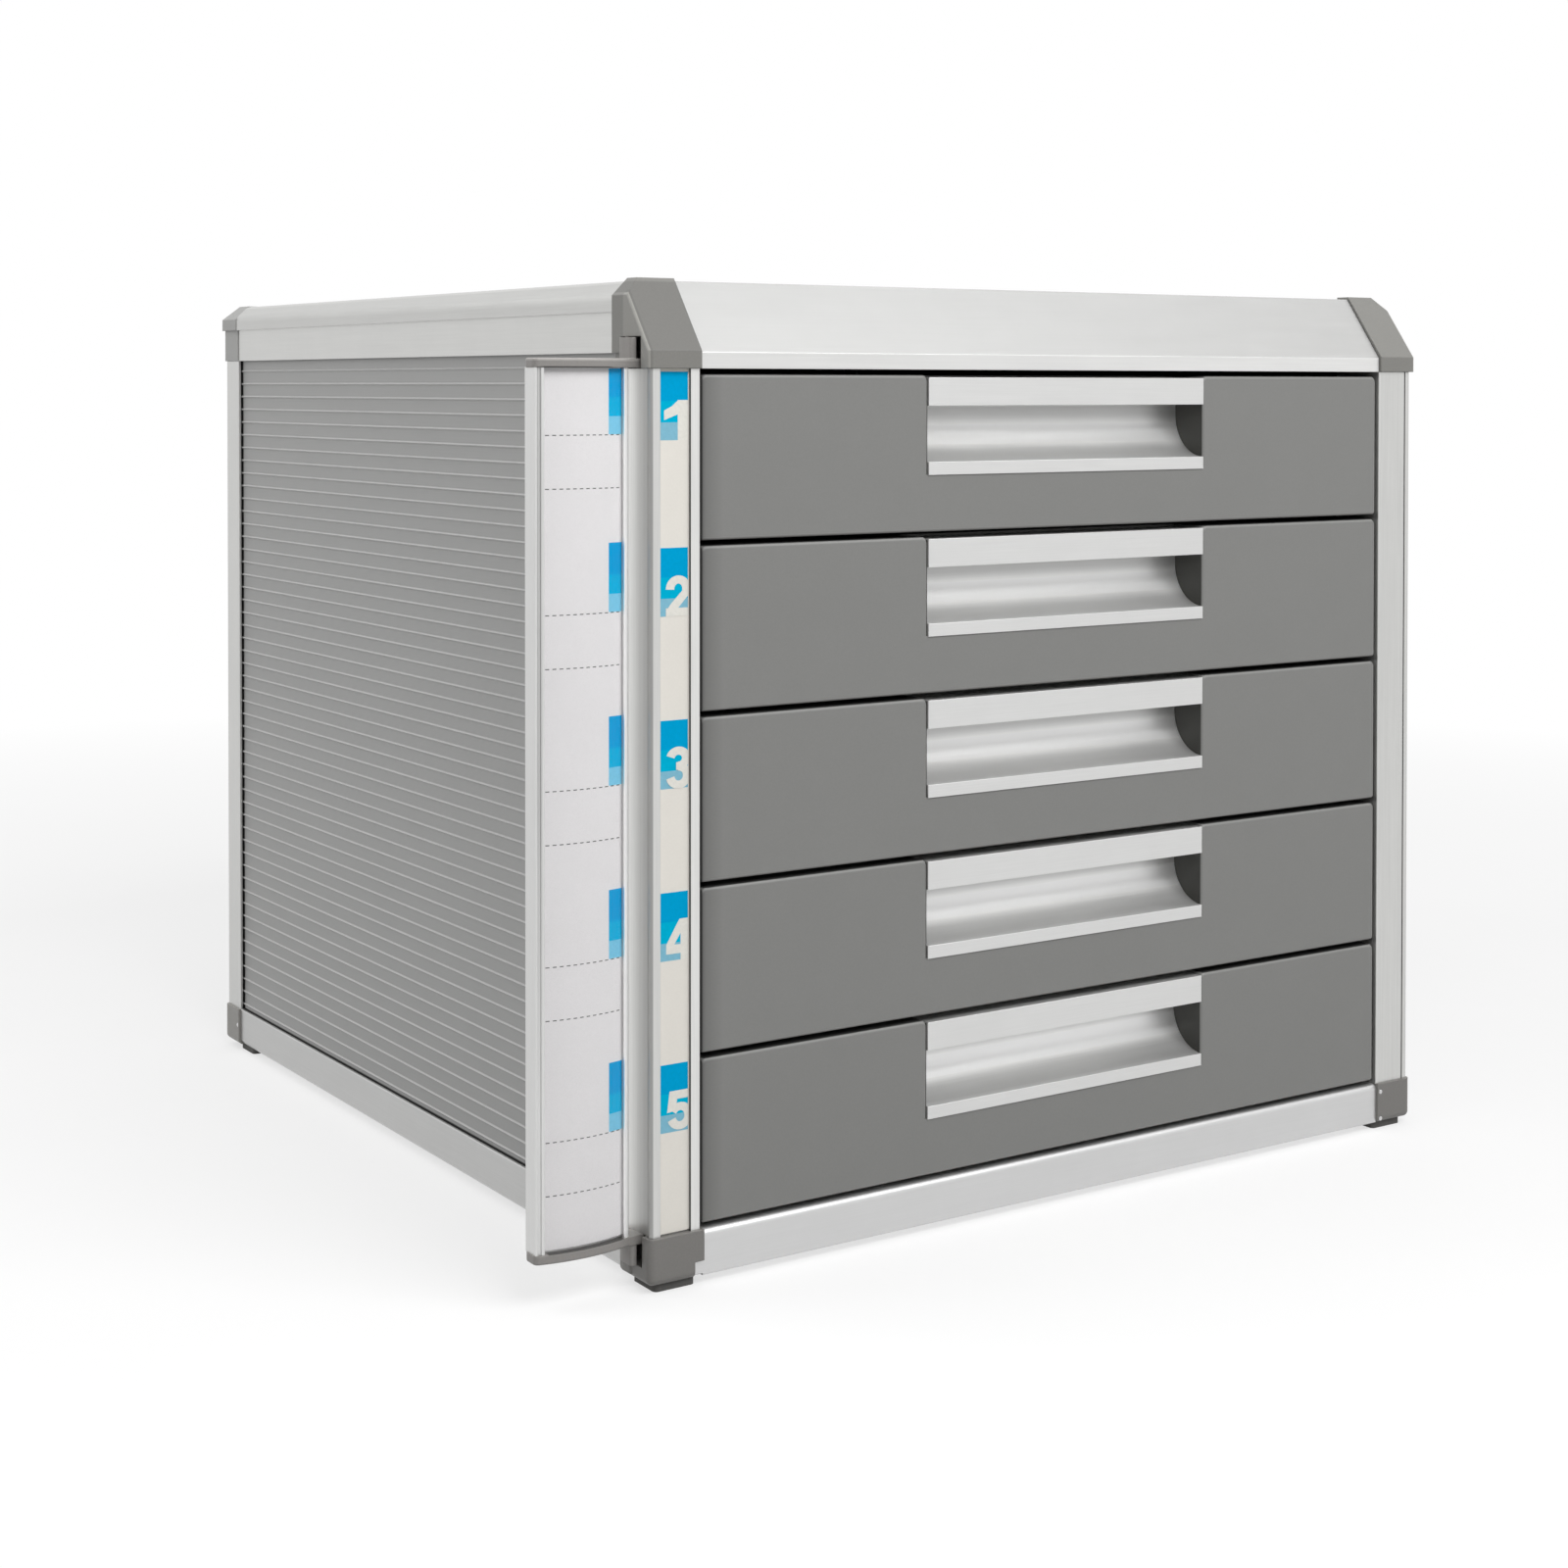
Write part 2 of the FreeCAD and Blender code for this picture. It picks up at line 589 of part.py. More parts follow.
def bottom_cap_body(width, front, back, outer_y):
    """Block of a left bottom cap, rounded along its outer upright and lower edges."""
    side = -BOTTOM_CAP_PROUD
    body = box(side, width, front, back, FRAME_BOTTOM, POST_BOTTOM)

    def upright(point):
        return abs(point.x - side) < 1e-6 and abs(point.y - outer_y) < 1e-6

    def lower_side(point):
        return abs(point.x - side) < 1e-6 and abs(point.z - FRAME_BOTTOM) < 1e-6

    def lower_face(point):
        return abs(point.y - outer_y) < 1e-6 and abs(point.z - FRAME_BOTTOM) < 1e-6

    edges = edges_on(body, upright) + edges_on(body, lower_side) + edges_on(body, lower_face)
    return body.makeFillet(BOTTOM_CAP_ROUND, edges)


def plug(x, y, z):
    """Block between three (low, high) pairs."""
    return box(*x, *y, *z)


def shrunk(span):
    return (span[0] + FIT, span[1] - FIT)


def front_bottom_cap(width, core):
    """Bottom cap of a front post, drawn at the left."""
    body = bottom_cap_body(width, -BOTTOM_CAP_PROUD, BOTTOM_CAP_DEPTH, -BOTTOM_CAP_PROUD)
    up = plug(
        shrunk(core[0]), (core[1][0] + FIT, BOTTOM_CAP_DEPTH - WALL), (POST_BOTTOM, POST_BOTTOM + PLUG)
    )
    rear = plug(
        shrunk(LOWER_CORE[0]), (BOTTOM_CAP_DEPTH, BOTTOM_CAP_DEPTH + PLUG), shrunk(LOWER_CORE[1])
    )
    inner = plug((width, width + PLUG), shrunk(FRONT_CORE[0]), shrunk(FRONT_CORE[1]))
    return join(body, up, rear, inner)


def hinge_pocket(low, high):
    """Space round a barrel of the index panel, open to the side."""
    inner = PIVOT_X + POCKET_INNER
    return box(-PAD_OUT - CAP_EAVE, inner, POCKET_FRONT, PIVOT_Y + POCKET_BACK, low, high)


def arm_recess(low, high):
    """Space that an arm of the index panel swings in."""
    inner = PIVOT_X + ARM_ROUND + ARM_CLEAR
    return box(-PAD_OUT - CAP_EAVE, inner, POCKET_FRONT, PIVOT_Y + ARM_ROUND + ARM_CLEAR, low, high)


def side_recess(back, low, high):
    """Skin taken off a cap's outer side, where the folded panel lies against the cabinet."""
    return box(-CAP_EAVE - 1, 0, POCKET_FRONT, back, low, high)


def left_bottom_cap():
    """Front left bottom cap, with the tab's notch and the lower hinge seat."""
    body = front_bottom_cap(LEFT_CAP_WIDTH, LABEL_POST_CORE)
    low = FRAME_BOTTOM + TAB_LIFT
    notch = box(
        LEFT_CAP_WIDTH - TAB_WIDTH - TAB_GAP,
        LEFT_CAP_WIDTH,
        -BOTTOM_CAP_PROUD,
        WALL + TAB_GAP,
        FRAME_BOTTOM - TAB_GAP,
        low + TAB_HEIGHT + TAB_GAP,
    )
    barrel_end = INDEX_BOTTOM - BARREL_HEIGHT
    seat_top = barrel_end - POCKET_CLEAR
    pad_corners = [
        (-PAD_OUT, PIVOT_Y - PAD_FRONT),
        (POCKET_INNER, PIVOT_Y - PAD_FRONT),
        (POCKET_INNER, PIVOT_Y + POCKET_BACK),
        (-PAD_OUT, PIVOT_Y + POCKET_BACK),
    ]
    pad = prism(pad_corners, "z", seat_top - PAD_HEIGHT, seat_top, {0: POST_ARRIS, 3: POST_ARRIS})
    peg = rod(PEG_RADIUS, PIVOT_X, PIVOT_Y, seat_top, POCKET_CLEAR + PEG_LENGTH, vector(0, 0, 1))
    pocket = hinge_pocket(seat_top, INDEX_BOTTOM)
    arm_low = INDEX_BOTTOM - ARM_CLEAR
    arm = arm_recess(arm_low, POST_BOTTOM)
    side = side_recess(BOTTOM_CAP_DEPTH + 1, arm_low, POST_BOTTOM)
    return join(cut(body, notch, pocket, arm, side), pad, peg)


def pin_hole(x, y, z, direction):
    return rod(PIN_RADIUS + HOLE_PLAY, x, y, z, PIN_LENGTH + 1, direction)


def front_pin_places():
    x = OPEN_RIGHT + PIN_FROM_JOINT
    return [(x, FRAME_BOTTOM + rise) for rise in PIN_HEIGHTS]


def right_bottom_cap():
    """Front right bottom cap, with the holes of its two pins."""
    body = mirrored(front_bottom_cap(POST_WIDTH, FRONT_POST_CORE))
    holes = [
        pin_hole(x, -BOTTOM_CAP_PROUD - 1, z, vector(0, 1, 0)) for x, z in front_pin_places()
    ]
    return cut(body, *holes)


def rear_bottom_cap():
    """Rear left bottom cap, with the hole of its side pin."""
    outer_y = DEPTH + BOTTOM_CAP_PROUD
    body = bottom_cap_body(POST_WIDTH, REAR_FRONT, outer_y, outer_y)
    up = plug(shrunk(REAR_POST_CORE[0]), shrunk(REAR_POST_CORE[1]), (POST_BOTTOM, POST_BOTTOM + PLUG))
    front = plug(shrunk(LOWER_CORE[0]), (REAR_FRONT - PLUG, REAR_FRONT), shrunk(LOWER_CORE[1]))
    inner = plug(
        (POST_WIDTH, POST_WIDTH + PLUG),
        (DEPTH - LOWER_CORE[0][1] + FIT, DEPTH - LOWER_CORE[0][0] - FIT),
        shrunk(LOWER_CORE[1]),
    )
    hole = pin_hole(
        -BOTTOM_CAP_PROUD - 1, REAR_FRONT + PIN_FROM_JOINT, FRAME_BOTTOM + SIDE_PIN_HEIGHT, vector(1, 0, 0)
    )
    return cut(join(body, up, front, inner), hole)


def frame_pins():
    """Small pins whose ends show at the joints of the bottom caps."""
    pins = []
    for x, z in front_pin_places():
        pins.append(rod(PIN_RADIUS, x, -BOTTOM_CAP_PROUD, z, PIN_LENGTH, vector(0, 1, 0)))
    side = rod(
        PIN_RADIUS,
        -BOTTOM_CAP_PROUD,
        REAR_FRONT + PIN_FROM_JOINT,
        FRAME_BOTTOM + SIDE_PIN_HEIGHT,
        PIN_LENGTH,
        vector(1, 0, 0),
    )
    return Part.makeCompound(pins + [side, mirrored(side)])


def foot(front):
    """Left rubber pad, its front edge at y = front."""
    back = front + FOOT_DEPTH
    left = FOOT_SIDE_INSET
    right = left + FOOT_WIDTH
    corners = [(left, front), (right, front), (right, back), (left, back)]
    return prism(corners, "z", 0, FOOT_HEIGHT, {index: FOOT_CORNER for index in range(4)})


def feet():
    """Four rubber pads under the bottom caps."""
    front = foot(FOOT_FRONT_INSET)
    rear = foot(DEPTH - REAR_FOOT_INSET - FOOT_DEPTH)
    return Part.makeCompound([front, mirrored(front), rear, mirrored(rear)])


def upper_rail(length):
    """Upper rail with its eave, outer face at x = 0, drawn from y = 0."""
    rebate_level = HEIGHT - TOP_THICKNESS - TOP_SINK
    section = [
        (0, UPPER_BOTTOM),
        (0, BAND_LEVEL),
        (-EAVE, BAND_LEVEL),
        (-EAVE, HEIGHT - CHAMFER_DROP),
        (CHAMFER_RUN - EAVE, HEIGHT),
        (RAIL_WIDTH - REBATE, HEIGHT),
        (RAIL_WIDTH - REBATE, rebate_level),
        (RAIL_WIDTH, rebate_level),
        (RAIL_WIDTH, UPPER_BOTTOM),
    ]
    body = prism(section, "y", 0, length, {3: EAVE_ROUND, 4: CREST_ROUND})
    slot = box(SLOT_INSET, SLOT_FAR, 0, length, UPPER_BOTTOM, UPPER_BOTTOM + SLOT_DEPTH)
    core = box(*UPPER_CORE[0], 0, length, *UPPER_CORE[1])
    return cut(body, slot, core)


def top_front_hollow(wall):
    """Outline of the hollow inside the front section, as (y, z)."""
    shell = [
        (0, LIP_BOTTOM),
        (0, LIP_BOTTOM + LIP_HEIGHT),
        (SLOPE_RUN, HEIGHT),
        (FRONT_POST_DEPTH, HEIGHT),
        (FRONT_POST_DEPTH, LIP_BOTTOM),
    ]
    return inset(shell, wall)


def top_front():
    """Front section of the top, with its lip, its slope and the ledge under the top panel."""
    ledge = HEIGHT - TOP_THICKNESS - TOP_SINK
    outline = [
        (0, LIP_BOTTOM),
        (0, LIP_BOTTOM + LIP_HEIGHT),
        (SLOPE_RUN, HEIGHT),
        (FRONT_POST_DEPTH, HEIGHT),
        (FRONT_POST_DEPTH, ledge),
        (FRONT_POST_DEPTH + REBATE, ledge),
        (FRONT_POST_DEPTH + REBATE, ledge - WALL),
        (FRONT_POST_DEPTH, ledge - WALL),
        (FRONT_POST_DEPTH, LIP_BOTTOM),
    ]
    body = prism(outline, "x", OPEN_LEFT, OPEN_RIGHT)
    return cut(body, prism(top_front_hollow(WALL), "x", OPEN_LEFT, OPEN_RIGHT))


def top_panel():
    """Flat panel that closes the top, lying on the rebates."""
    side = RAIL_WIDTH - REBATE + FIT
    high = HEIGHT - TOP_SINK
    board = box(
        side,
        WIDTH - side,
        FRONT_POST_DEPTH + FIT,
        DEPTH - side,
        high - TOP_THICKNESS,
        high,
    )
    corner = box(0, POST_WIDTH + FIT, REAR_FRONT - FIT, DEPTH, high - TOP_THICKNESS, high)
    return cut(board, corner, mirrored(corner))


def chamfer_wedge(edge, high, inwards):
    """Outline that takes off a cap's upper outer corner, as (across, z)."""
    reach = CAP_CHAMFER + 1
    return [
        (edge - inwards, high + 1),
        (edge - inwards, high - reach),
        (edge + inwards * reach, high + 1),
    ]


def front_top_cap(width, core):
    """Top cap of a front post, drawn at the left: lip, slope and flat, chamfered at the side."""
    side = -CAP_EAVE
    high = HEIGHT + TOP_CAP_PROUD
    run = math.hypot(SLOPE_RUN, HEIGHT - LIP_BOTTOM - LIP_HEIGHT)
    rise = HEIGHT - LIP_BOTTOM - LIP_HEIGHT
    lip_top = LIP_BOTTOM + LIP_HEIGHT + TOP_CAP_PROUD * (run - SLOPE_RUN) / rise
    crest = SLOPE_RUN - TOP_CAP_PROUD * (run - rise) / SLOPE_RUN
    profile = [
        (-TOP_CAP_PROUD, LIP_BOTTOM),
        (-TOP_CAP_PROUD, lip_top),
        (crest, high),
        (FRONT_POST_DEPTH, high),
        (FRONT_POST_DEPTH, LIP_BOTTOM),
    ]
    body = prism(profile, "x", side, width)

    def outer_front(point):
        return abs(point.x - side) < 1e-6 and point.y < crest + 1e-6

    body = body.makeFillet(CAP_ROUND, edges_on(body, outer_front))
    wedge = chamfer_wedge(side, high, 1)
    body = cut(body, prism(wedge, "y", -TOP_CAP_PROUD - 1, FRONT_POST_DEPTH + 1))
    down = plug(shrunk(core[0]), shrunk(core[1]), (LIP_BOTTOM - PLUG, LIP_BOTTOM))
    rear = plug(
        shrunk(UPPER_CORE[0]), (FRONT_POST_DEPTH, FRONT_POST_DEPTH + PLUG), shrunk(UPPER_CORE[1])
    )
    inner = prism(top_front_hollow(WALL + FIT), "x", width, width + PLUG)
    return join(body, down, rear, inner)


def left_top_cap():
    """Front left top cap, with the room for the arm and the upper hinge peg."""
    body = front_top_cap(LABEL_POST_WIDTH, LABEL_POST_CORE)
    ceiling = INDEX_CAP_TOP + BARREL_HEIGHT + POCKET_CLEAR
    side = side_recess(FRONT_POST_DEPTH + 1, LIP_BOTTOM, UPPER_BOTTOM)
    arm = arm_recess(LIP_BOTTOM, INDEX_CAP_TOP + POCKET_CLEAR)
    pocket = hinge_pocket(INDEX_CAP_TOP + POCKET_CLEAR, ceiling)
    peg = rod(
        PEG_RADIUS,
        PIVOT_X,
        PIVOT_Y,
        ceiling - POCKET_CLEAR - PEG_LENGTH,
        PEG_LENGTH + POCKET_CLEAR,
        vector(0, 0, 1),
    )
    return join(cut(body, side, arm, pocket), peg)


def rear_top_cap():
    """Rear left top cap: a lower half near the post's size under an eave with chamfers."""
    high = HEIGHT + REAR_CAP_PROUD
    lower = box(-REAR_CAP_STEP, POST_WIDTH, REAR_FRONT, DEPTH + REAR_CAP_STEP, UPPER_BOTTOM, BAND_LEVEL)
    upper = box(-CAP_EAVE, POST_WIDTH, REAR_FRONT, DEPTH + CAP_EAVE, BAND_LEVEL, high)
    left = -CAP_EAVE
    rear = DEPTH + CAP_EAVE
    side_cut = prism(chamfer_wedge(left, high, 1), "y", REAR_FRONT - 1, rear + 1)
    back_cut = prism(chamfer_wedge(rear, high, -1), "x", left - 1, POST_WIDTH + 1)
    down = plug(shrunk(REAR_POST_CORE[0]), shrunk(REAR_POST_CORE[1]), (UPPER_BOTTOM - PLUG, UPPER_BOTTOM))
    front = plug(shrunk(UPPER_CORE[0]), (REAR_FRONT - PLUG, REAR_FRONT), shrunk(UPPER_CORE[1]))
    inner = plug(
        (POST_WIDTH, POST_WIDTH + PLUG),
        (DEPTH - UPPER_CORE[0][1] + FIT, DEPTH - UPPER_CORE[0][0] - FIT),
        shrunk(UPPER_CORE[1]),
    )
    return join(lower, cut(upper, side_cut, back_cut), down, front, inner)


def front_bottom(number):
    """Lower edge of a drawer's front, counted from the top."""
    return LIP_BOTTOM - TOP_GAP - FRONT_HEIGHT - (number - 1) * DRAWER_PITCH


def tray_rim(number):
    return front_bottom(number) + FRONT_HEIGHT - TRAY_DROP


def runner_screw_levels():
    middle = (SIDE_RAIL_TOP + UPPER_BOTTOM) / 2
    return [middle + step * RUNNER_SCREW_SPACING for step in (-1, 0, 1)]


def runner_screw_x():
    return OPEN_LEFT - RUNNER_INSET - RUNNER_WEB - RUNNER_END / 2


def runner():
    """Left runner: a web with a ledge and a guide for each drawer, and stops near the front."""
    face = OPEN_LEFT - RUNNER_INSET
    low = SIDE_RAIL_TOP + RUNNER_END_GAP
    high = UPPER_BOTTOM - RUNNER_TOP_GAP
    web = box(face - RUNNER_WEB, face, FRONT_POST_DEPTH, REAR_FRONT, low, high)
    pieces = []
    for y in (FRONT_POST_DEPTH, REAR_FRONT - RUNNER_WEB):
        pieces.append(box(face - RUNNER_WEB - RUNNER_END, face - RUNNER_WEB, y, y + RUNNER_WEB, low, high))
    edge = TRAY_LEFT - LEDGE_GAP
    stop_back = TRAY_BACK - EAR_LENGTH - TRAVEL
    for number in range(1, DRAWERS + 1):
        rim = tray_rim(number)
        ledge_top = rim - FLANGE_THICKNESS - RUNNER_PLAY
        guide_low = rim + GUIDE_PLAY
        pieces.append(box(face, edge, FRONT_POST_DEPTH, REAR_FRONT, ledge_top - LEDGE, ledge_top))
        pieces.append(box(face, edge, FRONT_POST_DEPTH, REAR_FRONT, guide_low, guide_low + LEDGE))
        rib = OPEN_LEFT + FLANGE_GAP - STOP_GAP
        pieces.append(box(face, rib, stop_back - STOP_LENGTH, stop_back, ledge_top, guide_low))
    holes = []
    for z in runner_screw_levels():
        for y in (FRONT_POST_DEPTH - 1, REAR_FRONT - RUNNER_WEB - 1):
            hole = rod(SCREW_RADIUS + HOLE_PLAY, runner_screw_x(), y, z, RUNNER_WEB + 2, vector(0, 1, 0))
            holes.append(hole)
    return cut(join(web, *pieces), *holes)


def screw(x, y, z, direction, length):
    """Screw with its head's underside at (x, y, z), its shank along the direction."""
    shank = rod(SCREW_RADIUS, x, y, z, length, direction)
    head = rod(HEAD_RADIUS, x, y, z, HEAD_HEIGHT, direction * -1)
    return join(shank, head)


def runner_screws():
    """Screws that hold the runners to the posts."""
    screws = []
    forward = vector(0, -1, 0)
    for z in runner_screw_levels():
        front = screw(runner_screw_x(), FRONT_POST_DEPTH + RUNNER_WEB, z, forward, RUNNER_WEB + WALL)
        rear = screw(
            runner_screw_x(), REAR_FRONT - RUNNER_WEB, z, vector(0, 1, 0), RUNNER_WEB + SLOT_DEPTH
        )
        for piece in (front, rear):
            screws.append(piece)
            screws.append(mirrored_in_opening(piece))
    return screws


def post_screw_holes(post, screws):
    """The post with a hole for each runner screw that enters it."""
    for piece in screws:
        centre = piece.BoundBox.Center
        radius = SCREW_RADIUS + HOLE_PLAY
        y = piece.BoundBox.YMin - 1
        hole = rod(radius, centre.x, y, centre.z, piece.BoundBox.YLength + 2, vector(0, 1, 0))
        post = post.cut(hole)
    return post


def drawer_screw_places(number):
    low = front_bottom(number) + TRAY_LIFT + SCREW_FROM_EDGE
    high = tray_rim(number) - SCREW_FROM_EDGE
    columns = (FRONT_LEFT + SCREW_FROM_END, FRONT_RIGHT - SCREW_FROM_END)
    return [(x, z) for x in columns for z in (low, high)]


def front_ribs(low, high):
    """Upright ribs that stiffen the hollow of a drawer's front."""
    left = FRONT_LEFT + FRONT_WALL
    cell = (FRONT_RIGHT - FRONT_WALL - left) / FRONT_CELLS
    centres = [left + step * cell for step in range(1, FRONT_CELLS)]
    return [box(x - FRONT_RIB / 2, x + FRONT_RIB / 2, 0, FRONT_BACK, low, high) for x in centres]


def drawer_front(number):
    """Hollow front moulding, ribbed inside, notched from its upper edge for the handle."""
    low = front_bottom(number)
    high = low + FRONT_HEIGHT
    notch = high - HANDLE_DROP - HANDLE_HEIGHT
    points = [
        (FRONT_LEFT, low),
        (FRONT_RIGHT, low),
        (FRONT_RIGHT, high),
        (HANDLE_RIGHT, high),
        (HANDLE_RIGHT, notch),
        (HANDLE_LEFT, notch),
        (HANDLE_LEFT, high),
        (FRONT_LEFT, high),
    ]
    rounds = {0: FRONT_EDGE, 1: FRONT_EDGE, 2: FRONT_CORNER, 3: FRONT_CORNER, 6: FRONT_CORNER, 7: FRONT_CORNER}
    body = prism(points, "y", FACE_RECESS, FRONT_BACK, rounds)

    def outer_rim(point):
        in_notch = HANDLE_LEFT - 1e-6 < point.x < HANDLE_RIGHT + 1e-6
        return abs(point.y - FACE_RECESS) < 1e-6 and not in_notch

    body = body.makeFillet(FRONT_EDGE, edges_on(body, outer_rim))
    hollow = prism(inset(points, FRONT_WALL), "y", FACE_RECESS + FRONT_WALL, FRONT_BACK)
    hollow = cut(hollow, *front_ribs(low, high))
    pocket_back = box(
        HANDLE_LEFT - FRONT_CORNER,
        HANDLE_RIGHT + FRONT_CORNER,
        FACE_RECESS - HANDLE_PROUD + BOWL_RADIUS + HANDLE_WALL + HANDLE_PLAY,
        FRONT_BACK,
        notch - FRONT_WALL,
        high,
    )
    body = join(cut(body, hollow), pocket_back)
    for x, z in drawer_screw_places(number):
        start = FACE_RECESS + FRONT_WALL
        boss = rod(BOSS_RADIUS, x, start, z, FRONT_BACK - start, vector(0, 1, 0))
        body = join(body, boss)
    for x, z in drawer_screw_places(number):
        length = SCREW_LENGTH + HOLE_PLAY
        body = body.cut(rod(SCREW_RADIUS + HOLE_PLAY, x, FRONT_BACK - length, z, length, vector(0, 1, 0)))
    return body


def drawer_handle(number):
    """Handle section: band, bowl for the fingers and lower lip."""
    high = front_bottom(number) + FRONT_HEIGHT - HANDLE_DROP
    face = FACE_RECESS - HANDLE_PROUD
    band_low = high - BAND_HEIGHT
    lip_high = band_low - GRIP_HEIGHT
    lip_low = lip_high - LIP_BAND
    centre_y = face
    centre_z = lip_high + BOWL_RADIUS
    outer = BOWL_RADIUS + HANDLE_WALL
    back_in = centre_y + BOWL_RADIUS
    back_out = centre_y + outer
    lip_back = face + HANDLE_WALL
    meet = centre_z - math.sqrt(outer ** 2 - HANDLE_WALL ** 2)
    start = HANDLE_LEFT + HANDLE_PLAY

    def at(y, z):
        return vector(start, y, z)

    def on_arc(radius, angle):
        return at(centre_y + radius * math.cos(angle), centre_z - radius * math.sin(angle))

    def line(a, b):
        return Part.LineSegment(a, b).toShape()

    last = math.atan2(centre_z - meet, HANDLE_WALL)
    outer_arc = Part.Arc(on_arc(outer, 0), on_arc(outer, last / 2), on_arc(outer, last)).toShape()
    quarter = math.pi / 2
    inner_arc = Part.Arc(
        on_arc(BOWL_RADIUS, quarter), on_arc(BOWL_RADIUS, quarter / 2), on_arc(BOWL_RADIUS, 0)
    ).toShape()
    edges = [
        line(at(face, high), at(back_out, high)),
        line(at(back_out, high), on_arc(outer, 0)),
        outer_arc,
        line(on_arc(outer, last), at(lip_back, lip_low)),
        line(at(lip_back, lip_low), at(face, lip_low)),
        line(at(face, lip_low), on_arc(BOWL_RADIUS, quarter)),
        inner_arc,
        line(on_arc(BOWL_RADIUS, 0), at(back_in, high - HANDLE_WALL)),
        line(at(back_in, high - HANDLE_WALL), at(face + HANDLE_WALL, high - HANDLE_WALL)),
        line(at(face + HANDLE_WALL, high - HANDLE_WALL), at(face + HANDLE_WALL, band_low)),
        line(at(face + HANDLE_WALL, band_low), at(face, band_low)),
        line(at(face, band_low), at(face, high)),
    ]
    return Part.Face(Part.Wire(edges)).extrude(vector(HANDLE_WIDTH - 2 * HANDLE_PLAY, 0, 0))


def drawer_tray(number):
    """Open tray with a flange along each rim, and ears that meet the runners' stops."""
    low = front_bottom(number) + TRAY_LIFT
    high = tray_rim(number)
    body = box(TRAY_LEFT, TRAY_RIGHT, FRONT_BACK, TRAY_BACK, low, high)
    inside = box(
        TRAY_LEFT + TRAY_WALL,
        TRAY_RIGHT - TRAY_WALL,
        FRONT_BACK + TRAY_WALL,
        TRAY_BACK - TRAY_WALL,
        low + TRAY_WALL,
        high + 1,
    )
    body = cut(body, inside)
    under = high - FLANGE_THICKNESS
    flange = box(OPEN_LEFT + FLANGE_GAP, TRAY_LEFT, FRONT_BACK, TRAY_BACK, under, high)
    ear = box(OPEN_LEFT + EAR_GAP, TRAY_LEFT, TRAY_BACK - EAR_LENGTH, TRAY_BACK, under, high)
    body = join(body, flange, ear, mirrored_in_opening(flange), mirrored_in_opening(ear))
    for x, z in drawer_screw_places(number):
        hole = rod(SCREW_RADIUS + HOLE_PLAY, x, FRONT_BACK - 1, z, TRAY_WALL + 2, vector(0, 1, 0))
        body = body.cut(hole)
    return body


def drawer_screws(number):
    """Screws that hold a tray to its front."""
    seat = FRONT_BACK + TRAY_WALL
    length = TRAY_WALL + SCREW_LENGTH - HOLE_PLAY
    places = drawer_screw_places(number)
    return Part.makeCompound([screw(x, seat, z, vector(0, -1, 0), length) for x, z in places])


def crowned(left, right, sag_from, back, low, high):
    """Solid with a flat back and a swelling front, between two x values.

    sag_from is the y of the front at the panel's own edges.
    """
    radius = crown_radius()
    middle = (INDEX_LEFT + INDEX_RIGHT) / 2
    centre = sag_from - INDEX_CROWN + radius

    def front(x):
        return vector(x, centre - math.sqrt(radius ** 2 - (x - middle) ** 2), low)

    far_left = vector(left, back, low)
    far_right = vector(right, back, low)
    edges = [
        Part.Arc(front(left), front((left + right) / 2), front(right)).toShape(),
        Part.LineSegment(front(right), far_right).toShape(),
        Part.LineSegment(far_right, far_left).toShape(),
        Part.LineSegment(far_left, front(left)).toShape(),
    ]
    return Part.Face(Part.Wire(edges)).extrude(vector(0, 0, high - low))


def crown_radius():
    return INDEX_WIDTH ** 2 / (8 * INDEX_CROWN) + INDEX_CROWN / 2


def curved_sheet(left, right, depth, thickness, low, high):
    """Sheet that follows the panel's crown, its face a depth behind the crown."""
    middle = (INDEX_LEFT + INDEX_RIGHT) / 2
    radius = crown_radius()
    centre = INDEX_SETBACK - INDEX_CROWN + radius

    def arc_point(x, ring):
        return vector(x, centre - math.sqrt(ring ** 2 - (x - middle) ** 2), low)

    outer = radius - depth
    inner = outer - thickness
    halfway = (left + right) / 2
    edges = [
        Part.Arc(arc_point(left, outer), arc_point(halfway, outer), arc_point(right, outer)).toShape(),
        Part.LineSegment(arc_point(right, outer), arc_point(right, inner)).toShape(),
        Part.Arc(arc_point(right, inner), arc_point(halfway, inner), arc_point(left, inner)).toShape(),
        Part.LineSegment(arc_point(left, inner), arc_point(left, outer)).toShape(),
    ]
    return Part.Face(Part.Wire(edges)).extrude(vector(0, 0, high - low))


INDEX_CORE = (
    (INDEX_LEFT + INDEX_WALL, INDEX_RIGHT - INDEX_WALL),
    (INDEX_SETBACK + INDEX_RECESS + INDEX_SLOT + INDEX_WALL, INDEX_BACK - INDEX_WALL),
)


